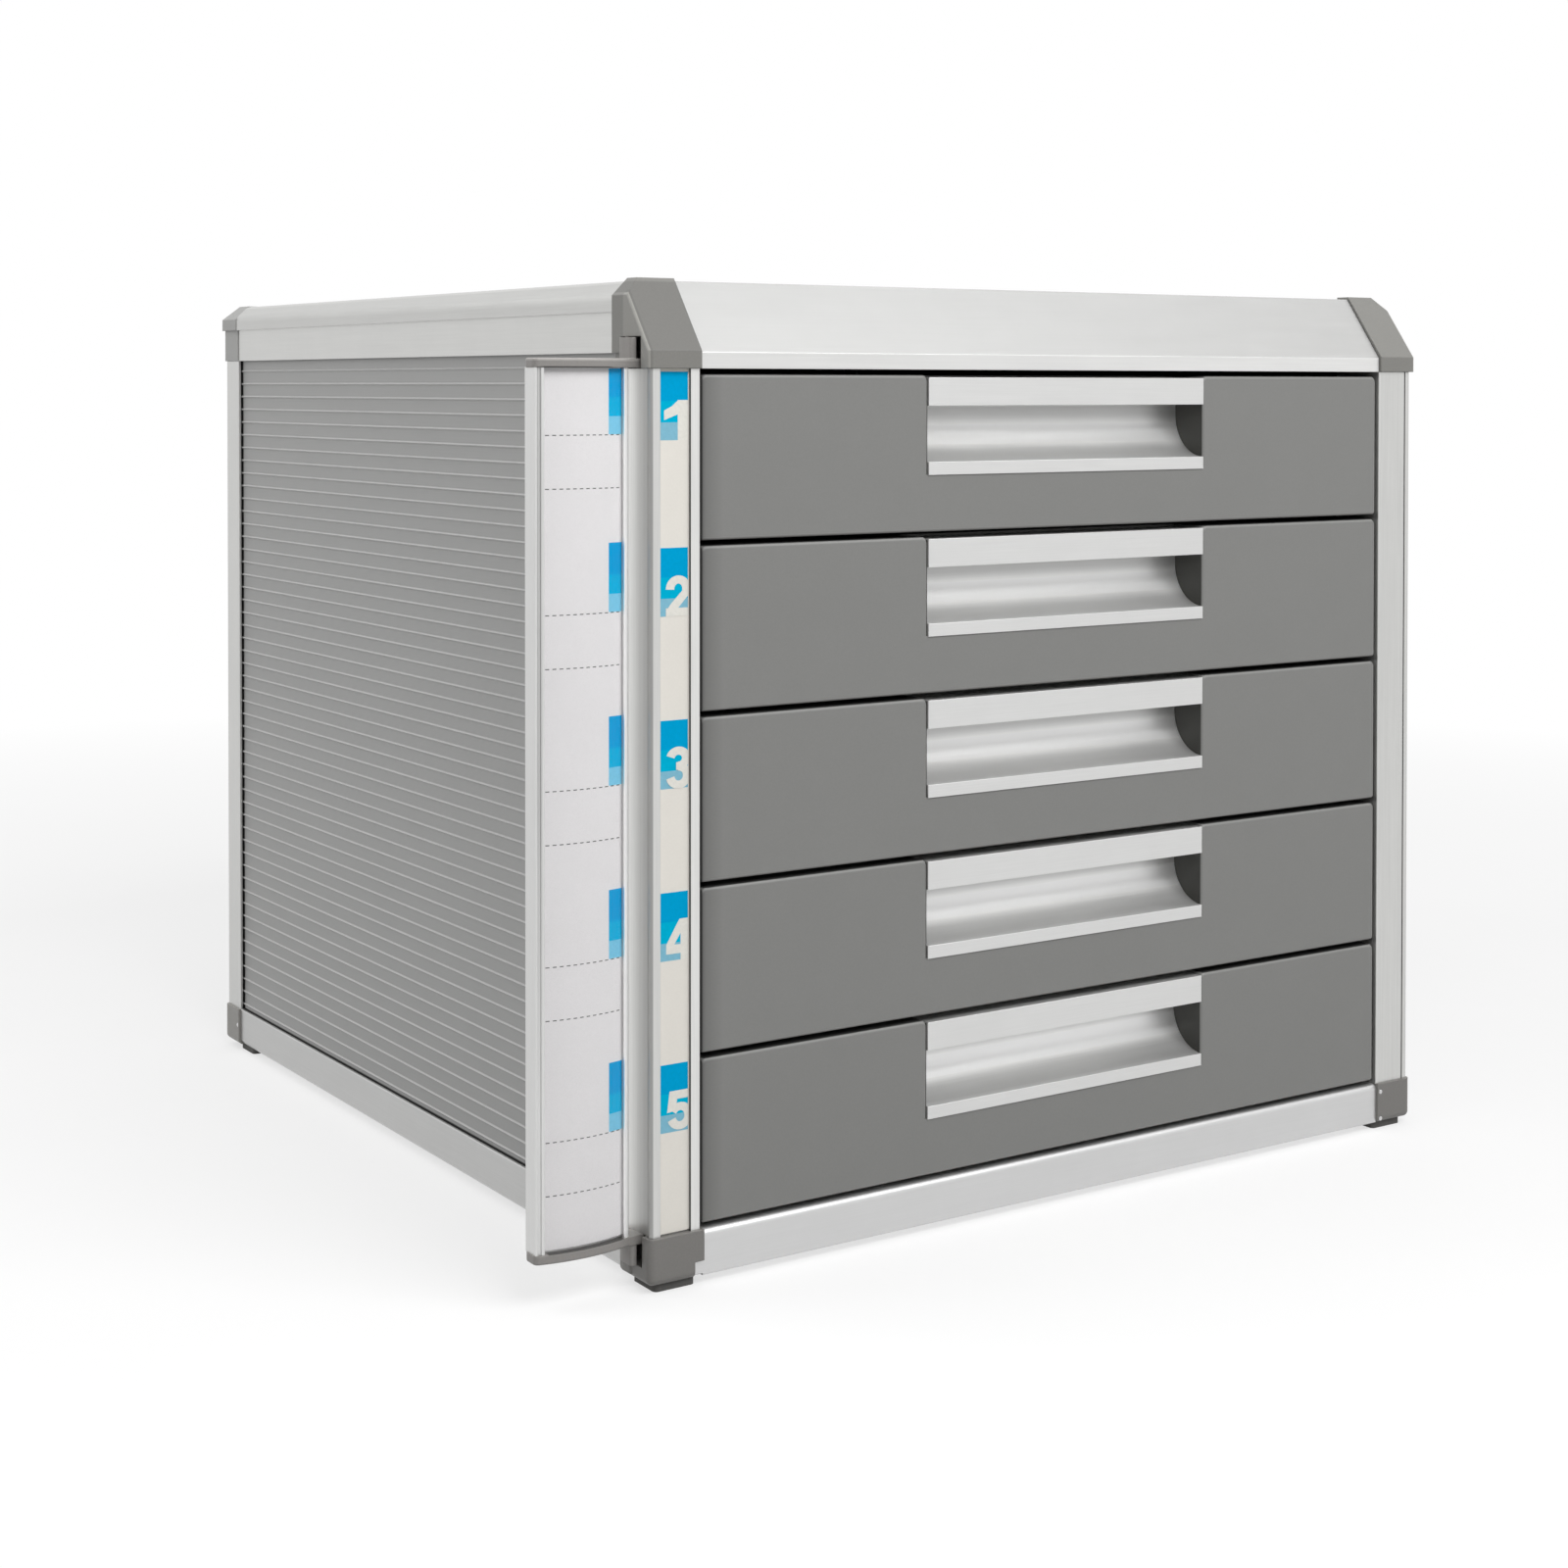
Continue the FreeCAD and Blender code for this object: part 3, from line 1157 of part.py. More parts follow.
def index_frame():
    """Panel section with a curved front, a window between two flanges and a sheet slot."""
    low = INDEX_LOW
    high = INDEX_HIGH
    body = crowned(INDEX_LEFT, INDEX_RIGHT, INDEX_SETBACK, INDEX_BACK, low, high)

    def front_arris(edge):
        upright = abs(edge.Vertexes[0].Z - edge.Vertexes[-1].Z) > 1
        return upright and edge.Vertexes[0].Y < INDEX_SETBACK + 1e-6

    body = body.makeFillet(INDEX_ROUND, [edge for edge in body.Edges if front_arris(edge)])
    window = curved_sheet(WINDOW_LEFT, WINDOW_RIGHT, -1, INDEX_RECESS + 1, low, high)
    slot = curved_sheet(
        WINDOW_LEFT - INDEX_TUCK, WINDOW_RIGHT + INDEX_TUCK, INDEX_RECESS, INDEX_SLOT, low, high
    )
    groove_left = INDEX_LEFT + INDEX_GROOVE_INSET
    groove = curved_sheet(
        groove_left, groove_left + INDEX_GROOVE_WIDTH, -1, INDEX_GROOVE_DEPTH + 1, low, high
    )
    core = box(*INDEX_CORE[0], *INDEX_CORE[1], low, high)
    return cut(body, window, slot, groove, core)


def index_sheet(depth, thickness):
    left = WINDOW_LEFT - INDEX_TUCK + SHEET_PLAY
    right = WINDOW_RIGHT + INDEX_TUCK - SHEET_PLAY
    return curved_sheet(left, right, depth, thickness, INDEX_LOW + SHEET_LIFT, INDEX_HIGH - SHEET_PLAY)


def sheet_lugs():
    """Lugs of the lower cap, in the slot behind the flanges, that the sheets stand on."""
    depth = INDEX_RECESS + SHEET_PLAY / 2
    thickness = INDEX_SLOT - SHEET_PLAY
    width = INDEX_TUCK - SHEET_PLAY
    high = INDEX_LOW + SHEET_LIFT
    return [
        curved_sheet(WINDOW_LEFT - width, WINDOW_LEFT, depth, thickness, INDEX_LOW, high),
        curved_sheet(WINDOW_RIGHT, WINDOW_RIGHT + width, depth, thickness, INDEX_LOW, high),
    ]


def index_cover():
    """Clear cover over the card."""
    return index_sheet(INDEX_RECESS + SHEET_PLAY / 2, COVER_THICKNESS)


def index_card():
    """Card behind the clear cover."""
    return index_sheet(INDEX_RECESS + SHEET_PLAY + COVER_THICKNESS, CARD_THICKNESS)


def index_cap(low, barrel_low, plug_low, bore_low, rim):
    """End cap of the panel: a plate with an arm, a barrel with its cheek and bore, and a plug.

    rim is the level of the plate's outer face, whose edges are rounded.
    """
    high = low + INDEX_CAP_THICKNESS
    front = INDEX_SETBACK - INDEX_CAP_PROUD
    left = INDEX_LEFT - INDEX_CAP_PROUD
    plate = crowned(left, INDEX_RIGHT, front, INDEX_BACK + INDEX_CAP_PROUD / 2, low, high)

    def free_corner(point):
        return abs(point.x - left) < 1e-6

    def outer_rim(point):
        return abs(point.z - rim) < 1e-6

    corners = [edge for edge in edges_on(plate, free_corner) if edge.BoundBox.ZLength > 1]
    plate = plate.makeFillet(INDEX_CAP_CORNER, corners)
    rims = [edge for edge in edges_on(plate, outer_rim) if edge.BoundBox.XMin < INDEX_RIGHT - 1e-6]
    plate = plate.makeFillet(INDEX_CAP_ROUND, rims)
    arm = box(INDEX_RIGHT, PIVOT_X + ARM_REACH, front, INDEX_BACK, low, high)
    knuckle = rod(ARM_ROUND, PIVOT_X, PIVOT_Y, low, INDEX_CAP_THICKNESS, vector(0, 0, 1))
    barrel = rod(BARREL_RADIUS, PIVOT_X, PIVOT_Y, barrel_low, BARREL_HEIGHT, vector(0, 0, 1))
    cheek_left = PIVOT_X - BARREL_RADIUS - CHEEK_OUT
    cheek_right = -CAP_EAVE - ARM_CLEAR
    cheek_corners = [
        (cheek_left, front + CHEEK_STEP),
        (cheek_right, front + CHEEK_STEP),
        (cheek_right, PIVOT_Y),
        (cheek_left, PIVOT_Y),
    ]
    cheek_rounds = {0: CHEEK_ROUND, 3: CHEEK_ROUND}
    cheek = prism(cheek_corners, "z", barrel_low, barrel_low + BARREL_HEIGHT, cheek_rounds)
    filling = box(*shrunk(INDEX_CORE[0]), *shrunk(INDEX_CORE[1]), plug_low, plug_low + PLUG)
    bore = rod(PEG_RADIUS + PEG_PLAY, PIVOT_X, PIVOT_Y, bore_low, PEG_LENGTH + PEG_PLAY, vector(0, 0, 1))
    return cut(join(plate, arm, knuckle, barrel, cheek, filling), bore)


def index_cap_top():
    low = INDEX_HIGH
    bore_low = INDEX_CAP_TOP + BARREL_HEIGHT - PEG_LENGTH - PEG_PLAY
    return index_cap(low, INDEX_CAP_TOP, low - PLUG, bore_low, INDEX_CAP_TOP)


def index_cap_bottom():
    barrel_low = INDEX_BOTTOM - BARREL_HEIGHT
    return join(index_cap(INDEX_BOTTOM, barrel_low, INDEX_LOW, barrel_low, INDEX_BOTTOM), *sheet_lugs())


def cabinet():
    """The pieces that stand still."""
    rear_rail = WIDTH - 2 * POST_WIDTH
    lower_side = lower_side_rail()
    upper_side = moved(upper_rail(REAR_FRONT - FRONT_POST_DEPTH), 0, FRONT_POST_DEPTH, 0)
    rear_left_post = rear_post()
    panel = side_panel()
    rear_bottom = rear_bottom_cap()
    rear_top = rear_top_cap()
    left_runner = runner()
    screws = runner_screws()
    posts = {
        "post_front_left": label_post(),
        "post_front_right": mirrored(plain_front_post()),
        "post_rear_left": rear_left_post,
        "post_rear_right": mirrored(rear_left_post),
    }
    nodes = {name: post_screw_holes(post, screws) for name, post in posts.items()}
    nodes.update({
        "label_strip": label_strip(),
        "lower_rail_front": front_rail(),
        "lower_rail_left": lower_side,
        "lower_rail_right": mirrored(lower_side),
        "lower_rail_rear": to_rear(lower_rail(rear_rail)),
        "base_panel": base_panel(),
        "side_panel_left": panel,
        "side_panel_right": mirrored(panel),
        "back_panel": back_panel(),
        "bottom_cap_front_left": left_bottom_cap(),
        "bottom_cap_front_right": right_bottom_cap(),
        "bottom_cap_rear_left": rear_bottom,
        "bottom_cap_rear_right": mirrored(rear_bottom),
        "frame_pins": frame_pins(),
        "feet": feet(),
        "upper_rail_left": upper_side,
        "upper_rail_right": mirrored(upper_side),
        "upper_rail_rear": to_rear(upper_rail(rear_rail)),
        "top_front_rail": top_front(),
        "top_panel": top_panel(),
        "top_cap_front_left": left_top_cap(),
        "top_cap_front_right": mirrored(front_top_cap(POST_WIDTH, FRONT_POST_CORE)),
        "top_cap_rear_left": rear_top,
        "top_cap_rear_right": mirrored(rear_top),
        "runner_left": left_runner,
        "runner_right": mirrored_in_opening(left_runner),
        "runner_screws": Part.makeCompound(screws),
    })
    return nodes


def drawers():
    """Each drawer's front, handle, tray and screws."""
    nodes = {}
    for number in range(1, DRAWERS + 1):
        nodes["drawer_front_%d" % number] = drawer_front(number)
        nodes["drawer_handle_%d" % number] = drawer_handle(number)
        nodes["drawer_tray_%d" % number] = drawer_tray(number)
        nodes["drawer_screws_%d" % number] = drawer_screws(number)
    return nodes


def index_panel():
    """The hinged panel with its card."""
    return {
        "index_frame": index_frame(),
        "index_card": index_card(),
        "index_cover": index_cover(),
        "index_cap_top": index_cap_top(),
        "index_cap_bottom": index_cap_bottom(),
    }


def main():
    nodes = {}
    nodes.update(cabinet())
    nodes.update(drawers())
    nodes.update(index_panel())
    for name, shape in nodes.items():
        placed = moved(shape, -CENTRE_X, -CENTRE_Y, 0)
        placed.exportStep("parts/%s.step" % name)
        print(name, len(placed.Solids), placed.isValid(), round(placed.Volume, 1))


main()
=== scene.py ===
import math

import bpy
from mathutils import Euler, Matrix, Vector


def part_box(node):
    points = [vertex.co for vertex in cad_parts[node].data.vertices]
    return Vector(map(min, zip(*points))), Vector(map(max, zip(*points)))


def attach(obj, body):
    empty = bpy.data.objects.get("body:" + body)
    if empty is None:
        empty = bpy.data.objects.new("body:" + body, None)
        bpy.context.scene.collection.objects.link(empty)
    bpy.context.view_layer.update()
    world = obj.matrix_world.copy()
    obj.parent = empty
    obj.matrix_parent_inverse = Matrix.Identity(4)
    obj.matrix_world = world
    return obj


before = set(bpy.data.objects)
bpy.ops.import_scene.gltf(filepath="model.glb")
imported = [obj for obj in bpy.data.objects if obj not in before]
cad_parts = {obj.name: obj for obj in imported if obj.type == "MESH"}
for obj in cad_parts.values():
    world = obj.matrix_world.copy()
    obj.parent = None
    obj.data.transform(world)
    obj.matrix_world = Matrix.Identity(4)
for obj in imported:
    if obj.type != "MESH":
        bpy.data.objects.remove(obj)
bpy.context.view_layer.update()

# Looks, print, floor, lamps and camera for the desktop drawer organizer.
# Places are written in millimetres from the front left post: x to the right from its outer side,
# y to the back from its face, z up from the table.

DRAWERS = 5
post_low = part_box("post_front_left")[0]


def place(x, y, z):
    """A point given in millimetres, in the frame's metres."""
    return (post_low[0] + x / 1000, post_low[1] + y / 1000, z / 1000)


def node_mm(name):
    """Low and high corners of a node in millimetres from the front left post."""
    low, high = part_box(name)
    shift = (post_low[0], post_low[1], 0)
    return (
        [(value - by) * 1000 for value, by in zip(low, shift)],
        [(value - by) * 1000 for value, by in zip(high, shift)],
    )


# Materials

def srgb(red, green, blue):
    """Linear colour of a display colour given in 0 to 255."""
    linear = []
    for value in (red, green, blue):
        part = value / 255
        linear.append(part / 12.92 if part <= 0.04045 else ((part + 0.055) / 1.055) ** 2.4)
    return tuple(linear) + (1.0,)


class Nodes:
    """Short way to add nodes to a material and link them."""

    def __init__(self, name):
        self.material = bpy.data.materials.new(name)
        self.material.use_nodes = True
        self.tree = self.material.node_tree
        self.tree.nodes.clear()
        self.output = self.add("ShaderNodeOutputMaterial")

    def add(self, kind, inputs=None, **settings):
        node = self.tree.nodes.new(kind)
        for key, value in settings.items():
            setattr(node, key, value)
        for key, value in (inputs or {}).items():
            if isinstance(value, bpy.types.NodeSocket):
                self.tree.links.new(value, node.inputs[key])
            else:
                node.inputs[key].default_value = value
        return node

    def math(self, operation, first, second):
        return self.add("ShaderNodeMath", {0: first, 1: second}, operation=operation).outputs[0]

    def span(self, value, low, high, to_low, to_high):
        inputs = {"Value": value, "From Min": low, "From Max": high, "To Min": to_low, "To Max": to_high}
        return self.add("ShaderNodeMapRange", inputs).outputs[0]

    def blend(self, factor, first, second):
        node = self.add("ShaderNodeMix", data_type="RGBA")
        for socket, value in ((node.inputs[0], factor), (node.inputs[6], first), (node.inputs[7], second)):
            if isinstance(value, bpy.types.NodeSocket):
                self.tree.links.new(value, socket)
            else:
                socket.default_value = value
        return node.outputs[2]

    def noise(self, scale, detail=3.0, stretch=(1, 1, 1)):
        where = self.add("ShaderNodeTexCoord").outputs["Object"]
        mapped = self.add("ShaderNodeMapping", {"Vector": where, "Scale": stretch})
        inputs = {"Vector": mapped.outputs[0], "Scale": scale, "Detail": detail, "Roughness": 0.6}
        return self.add("ShaderNodeTexNoise", inputs).outputs[0]

    def finish(self, shader):
        self.tree.links.new(shader.outputs[0], self.output.inputs["Surface"])
        return self.material


def shade(color, by):
    return tuple(min(1.0, value * by) for value in color[:3]) + (1.0,)


# Shared by all grained surfaces with a painted edge highlight
BLOTCH_SCALE = 60.0
BLOTCH_SHARE = 0.12        # how far a blotch goes towards its duller tone
BLOTCH_TONE = 0.86
EDGE_HIGHLIGHT_SCALE = 220.0
LEAST_EDGE_HIGHLIGHT = 0.35          # share of the painted edge highlight where an edge gets least of it
EDGE_STARTS = 0.995        # agreement of the softened and the true normal where an edge starts
EDGE_FULL = 0.80           # and where it is full
ROUGHNESS_SWING = 0.05
RELIEF = 0.0001            # depth of the grain in metres
NOISE_SPAN = (0.3, 0.7)    # range that most of a noise's values lie in
MOTTLE_SPAN = (0.35, 0.65)


def grained_surface_with_edge_highlight(
    name, color, metallic, roughness, stretch, grain, bump, edge=1.25, edge_radius=0.5, pattern=None
):
    """Finish with a grain drawn out along one axis, soft blotches, and rounded edges with a painted
    highlight that is broken up unevenly.

    edge is the tone of that painted edge highlight as a factor, edge_radius is in millimetres. pattern
    takes the node helper and the colour so far, and gives the colour that is used.
    """
    n = Nodes(name)
    streaks = n.noise(1.0, 4.0, stretch)
    blotches = n.noise(BLOTCH_SCALE, 3.0)
    soft = n.add("ShaderNodeBevel", {"Radius": edge_radius / 1000}, samples=6)
    true_normal = n.add("ShaderNodeNewGeometry").outputs["Normal"]
    alignment = n.add(
        "ShaderNodeVectorMath", {0: soft.outputs[0], 1: true_normal}, operation="DOT_PRODUCT"
    ).outputs["Value"]
    on_edge = n.span(alignment, EDGE_STARTS, EDGE_FULL, 0.0, 1.0)
    unevenness = n.span(n.noise(EDGE_HIGHLIGHT_SCALE, 2.0), 0.35, 0.7, LEAST_EDGE_HIGHLIGHT, 1.0)
    edge_highlight = n.math("MULTIPLY", on_edge, unevenness)
    streak = n.span(streaks, *NOISE_SPAN, 0.0, 1.0)
    streaked = n.blend(streak, shade(color, 1 - grain), shade(color, 1 + grain))
    blotch = n.span(blotches, *MOTTLE_SPAN, 0.0, BLOTCH_SHARE)
    blotched = n.blend(blotch, streaked, shade(color, BLOTCH_TONE))
    edge_lit = n.blend(edge_highlight, blotched, shade(color, edge))
    if pattern:
        edge_lit = pattern(n, edge_lit)
    rough = n.span(streaks, *NOISE_SPAN, roughness - ROUGHNESS_SWING, roughness + ROUGHNESS_SWING)
    relief = n.add(
        "ShaderNodeBump",
        {"Height": streaks, "Strength": bump, "Distance": RELIEF, "Normal": soft.outputs[0]},
    )
    shader = n.add(
        "ShaderNodeBsdfPrincipled",
        {"Base Color": edge_lit, "Roughness": rough, "Metallic": metallic, "Normal": relief.outputs[0]},
    )
    return n.finish(shader)


def band(n, value, low, high, soft):
    """1 between two levels in millimetres, 0 outside them, with soft ends; value is in metres."""
    rise = n.span(value, (low - soft) / 1000, low / 1000, 0.0, 1.0)
    fall = n.span(value, high / 1000, (high + soft) / 1000, 1.0, 0.0)
    return n.math("MULTIPLY", rise, fall)


def across(n, axis):
    """Object coordinate along an axis, measured like the places: from the front left post."""
    where = n.add("ShaderNodeTexCoord").outputs["Object"]
    value = n.add("ShaderNodeSeparateXYZ", {0: where}).outputs[axis]
    start = {"X": post_low[0], "Y": post_low[1], "Z": 0.0}[axis]
    return n.math("SUBTRACT", value, start)


def tinted(n, mask, color, by):
    """The colour times a factor where the mask is 1."""
    factor = n.span(mask, 0.0, 1.0, 1.0, by)
    scaled = n.add("ShaderNodeVectorMath", {0: color, "Scale": factor}, operation="SCALE")
    return scaled.outputs[0]


def both(n, first, second):
    """Mask that is 1 only where both masks are."""
    return n.math("MULTIPLY", first, second)


def either(n, first, second):
    """Mask that is 1 where one of the masks is."""
    return n.math("MAXIMUM", first, second)


# Stretches of the grain: long along one axis and fine across it
LONG = 30
FINE = 2200
ALONG_X = (LONG, FINE, FINE)
ALONG_Y = (FINE, LONG, FINE)
ALONG_Z = (FINE, FINE, LONG)
EVEN = (1500, 1500, 1500)

# Places on the sections and caps where light and shade are painted, in millimetres
PAST = 1.0                 # a band that ends with its piece reaches this far past it
EAVE_HEIGHT = 9.7          # slope of the upper rails, above their step
EAVE_CROWN = 1.0           # rounded edge above that slope
LIP_HEIGHT = 5.0           # lip of the top's front section
CHANNEL_RIGHT = 14.2       # right side of the channel for the number strip
CHANNEL_SIDE = 0.04        # half the width in which the channel's side lies
RIGHT_FLANGE = 18.0        # the right flange ends before this
OUTER_SIDE = 0.86          # outer side and rounded corner of the front left post
CORNER_START = 0.1
CORNER_END = 0.95          # rounded front corner of that post
CORNER_DEPTH = 0.5
FLUTE_FRONT = 4.5          # painted shade on the flute in the outer side is deepest in front of this and is gone behind this
FLUTE_BACK = 12.5          # and has its full tone behind this
LINE_LEFT = 324.2          # groove down the front right post
LINE_WIDTH = 0.6
HANDLE_LIP = 4.2           # lip below a handle's bowl


def eave_painted_shade(n, color):
    """Painted shade: the slope above the eave's step is a little darker."""
    crown = node_mm("upper_rail_left")[1][2]
    slope = band(n, across(n, "Z"), crown - EAVE_HEIGHT, crown - EAVE_CROWN, soft=0.1)
    return tinted(n, slope, color, by=0.9)


def label_post_painted_light_and_shade(n, color):
    """Painted shadow on the inner side of the channel's right flange, painted light on the post's outer
    side and right flange, and painted shade on a flute that deepens to the front and on the rounded front
    corner.
    """
    x = across(n, "X")
    y = across(n, "Y")
    channel_side = band(n, x, CHANNEL_RIGHT - CHANNEL_SIDE, CHANNEL_RIGHT + CHANNEL_SIDE, soft=0.02)
    right_flange = band(n, x, CHANNEL_RIGHT + 0.1, RIGHT_FLANGE, soft=0.05)
    side = band(n, x, -PAST, OUTER_SIDE, soft=0.05)
    flute = both(n, side, n.span(y, FLUTE_BACK / 1000, FLUTE_FRONT / 1000, 0.0, 1.0))
    corner = both(
        n, band(n, x, CORNER_START, CORNER_END, soft=0.15), band(n, y, -PAST, CORNER_DEPTH, soft=0.3)
    )
    color = tinted(n, channel_side, color, by=0.12)
    color = tinted(n, either(n, side, right_flange), color, by=1.16)
    color = tinted(n, flute, color, by=0.58)
    return tinted(n, corner, color, by=0.8)


def line_post_shadows(n, color):
    """Painted shade in the groove down the right post."""
    groove = band(n, across(n, "X"), LINE_LEFT, LINE_LEFT + LINE_WIDTH, soft=0.05)
    return tinted(n, groove, color, by=0.45)


def front_section_light_and_shade(n, color):
    """Painted light on the lip, painted shade that grows to the left, and painted shadow lines where the
    front section of the top meets its caps.
    """
    x = across(n, "X")
    low, high = node_mm("top_front_rail")
    left_joint = band(n, x, low[0] - PAST, low[0] + 0.45, soft=0.25)
    right_joint = band(n, x, high[0] - 0.3, high[0] + PAST, soft=0.2)
    lip = band(n, across(n, "Z"), low[2], low[2] + LIP_HEIGHT, soft=0.1)
    leftward = n.span(x, high[0] / 1000, low[0] / 1000, 0.0, 1.0)
    color = tinted(n, leftward, color, by=0.88)
    color = tinted(n, lip, color, by=1.6)
    return tinted(n, either(n, left_joint, right_joint), color, by=0.35)


# Flanges of the index panel's frame: places from the front left post, or from the frame's left side
INNER_FLANGE = (-6.4, -3.9)
INNER_GLINT = (-5.5, -4.95)
INNER_LINE = (-4.4, -3.7)
OUTER_STEP = (0.8, 2.2)
OUTER_LINE = (0.8, 1.25)
FLANGE_DEPTH = 4.5
STEP_FADES = (60, 150)     # levels between which the outer step's shade sets in


def index_frame_light_and_shade(n, color):
    """Painted light on the inner flange of the index panel, a painted glint beside it, and painted shade
    lines down both flanges.
    """
    x = across(n, "X")
    z = across(n, "Z")
    low = node_mm("index_frame")[0]
    front = band(n, across(n, "Y"), low[1] - PAST, low[1] + FLANGE_DEPTH, soft=0.2)
    upper = both(n, front, n.span(z, STEP_FADES[0] / 1000, STEP_FADES[1] / 1000, 0.0, 1.0))
    step = band(n, x, low[0] + OUTER_STEP[0], low[0] + OUTER_STEP[1], soft=0.1)
    line = band(n, x, low[0] + OUTER_LINE[0], low[0] + OUTER_LINE[1], soft=0.1)
    color = tinted(n, band(n, x, *INNER_FLANGE, soft=0.2), color, by=1.8)
    color = tinted(n, both(n, front, band(n, x, *INNER_GLINT, soft=0.15)), color, by=1.35)
    color = tinted(n, both(n, front, band(n, x, *INNER_LINE, soft=0.2)), color, by=0.74)
    color = tinted(n, both(n, upper, step), color, by=0.8)
    return tinted(n, both(n, upper, line), color, by=0.85)


# Bowl of a handle: levels above the lip's top in millimetres
SHEEN_RISE = (2.5, 7.5)
SHEEN_FALL = (15.5, 9.5)
BOWL = (0.3, 17.5)


def bowl_sheen(lip_top):
    """Painted highlight: a brighter streak along a handle's bowl, between the levels where it faces the
    light, with painted shade over the whole bowl.
    """

    def pattern(n, color):
        z = across(n, "Z")
        slopes = [
            n.add(
                "ShaderNodeMapRange",
                {"Value": z, "From Min": (lip_top + start) / 1000, "From Max": (lip_top + end) / 1000},
                interpolation_type="SMOOTHSTEP",
            ).outputs[0]
            for start, end in (SHEEN_RISE, SHEEN_FALL)
        ]
        bowl = band(n, z, lip_top + BOWL[0], lip_top + BOWL[1], soft=0.3)
        color = tinted(n, bowl, color, by=0.85)
        return tinted(n, both(n, *slopes), color, by=2.1)

    return pattern


# Front top caps, where light and shade are painted: bands of x from their outer sides and of z, in
# millimetres
CAP_FRONT = (-2.0, 14.0)
CAP_HEIGHTS = (200.0, 305.0)
EDGE_HIGHLIGHT_LINE = (0.1, 0.65)
EDGE_SHADE_LINE = (0.95, 1.6)
CAP_SLOPE = (286.5, 307.5)
LEFT_CAP_END = 60.0        # between the left cap and the right one


def cap_edge_light_and_shade(n, color):
    """Painted highlight along the outer edge of a front top cap, and painted shade in a line beside it and
    on the slope of the left cap.
    """
    x = across(n, "X")
    z = across(n, "Z")
    left = node_mm("top_cap_front_left")[0][0]
    right = node_mm("top_cap_front_right")[1][0]
    on_front = both(
        n, band(n, across(n, "Y"), *CAP_FRONT, soft=1.0), band(n, z, *CAP_HEIGHTS, soft=1.0)
    )
    pale = either(
        n,
        band(n, x, left + EDGE_HIGHLIGHT_LINE[0], left + EDGE_HIGHLIGHT_LINE[1], soft=0.15),
        band(n, x, right - EDGE_HIGHLIGHT_LINE[1], right - EDGE_HIGHLIGHT_LINE[0], soft=0.15),
    )
    shaded_line = band(n, x, left + EDGE_SHADE_LINE[0], left + EDGE_SHADE_LINE[1], soft=0.2)
    slope = both(n, band(n, z, *CAP_SLOPE, soft=0.5), band(n, x, left + 1.0, LEFT_CAP_END, soft=0.2))
    color = tinted(n, slope, color, by=0.72)
    color = tinted(n, both(n, pale, on_front), color, by=1.5)
    return tinted(n, both(n, shaded_line, on_front), color, by=0.85)


# Caps of the index panel: levels from the ends of its frame, places across from its sides
SHADED_STRIP = 0.04        # half the width in which the lower cap's upper face lies
STRIP_ENDS = (4.0, 2.2)
UPPER_RIM = (2.0, 2.9)
UNDERSIDE = (-0.5, 0.25)
UNDERSIDE_LEFT = 2.5
UNDERSIDE_RIGHT = -12.0    # from the front left post


def index_cap_light_and_shade(n, color):
    """Painted shadow on the lower cap in front of the card and along the upper cap's lower edge; painted
    highlight on the upper cap's rim.
    """
    x = across(n, "X")
    z = across(n, "Z")
    low, high = node_mm("index_frame")
    strip = both(
        n,
        band(n, z, low[2] - SHADED_STRIP, low[2] + SHADED_STRIP, soft=0.02),
        band(n, x, low[0] + STRIP_ENDS[0], high[0] - STRIP_ENDS[1], soft=0.2),
    )
    rim = band(n, z, high[2] + UPPER_RIM[0], high[2] + UPPER_RIM[1], soft=0.1)
    under = both(
        n,
        band(n, z, high[2] + UNDERSIDE[0], high[2] + UNDERSIDE[1], soft=0.1),
        band(n, x, low[0] + UNDERSIDE_LEFT, UNDERSIDE_RIGHT, soft=2.0),
    )
    color = tinted(n, rim, color, by=1.4)
    color = tinted(n, under, color, by=0.3)
    return tinted(n, strip, color, by=0.2)


# Fronts of the drawers, where light and shade are painted: distances from their edges in millimetres
WIDE_SHADE = 8.0
NEAR_SHADE = 1.8
FRONT_EDGE_HIGHLIGHT = (0.35, 0.9)
DARK_END = 0.45
DARK_CROWN = 0.15


def front_edge_light_and_shade(low, high):
    """Painted shade along the left end of a drawer's front, painted highlights along its right, lower and
    upper edges, and deep painted shade on its left end and top face.
    """

    def pattern(n, color):
        x = across(n, "X")
        z = across(n, "Z")
        inner, outer = FRONT_EDGE_HIGHLIGHT
        wide = n.span(x, low[0] / 1000, (low[0] + WIDE_SHADE) / 1000, 1.0, 0.0)
        near = n.span(x, low[0] / 1000, (low[0] + NEAR_SHADE) / 1000, 1.0, 0.0)
        right = band(n, x, high[0] - outer, high[0] - inner, soft=0.15)
        lower = band(n, z, low[2] + inner, low[2] + outer, soft=0.15)
        upper = band(n, z, high[2] - outer, high[2] - inner, soft=0.15)
        end = band(n, x, low[0] - PAST, low[0] + DARK_END, soft=0.3)
        crown = band(n, z, high[2] - DARK_CROWN, high[2] + PAST, soft=0.1)
        color = tinted(n, upper, color, by=1.12)
        color = tinted(n, either(n, right, lower), color, by=1.22)
        color = tinted(n, wide, color, by=0.66)
        color = tinted(n, near, color, by=0.62)
        return tinted(n, either(n, end, crown), color, by=0.12)

    return pattern


# Finishes: colour, share of metal, roughness, direction of the grain, its contrast, its relief

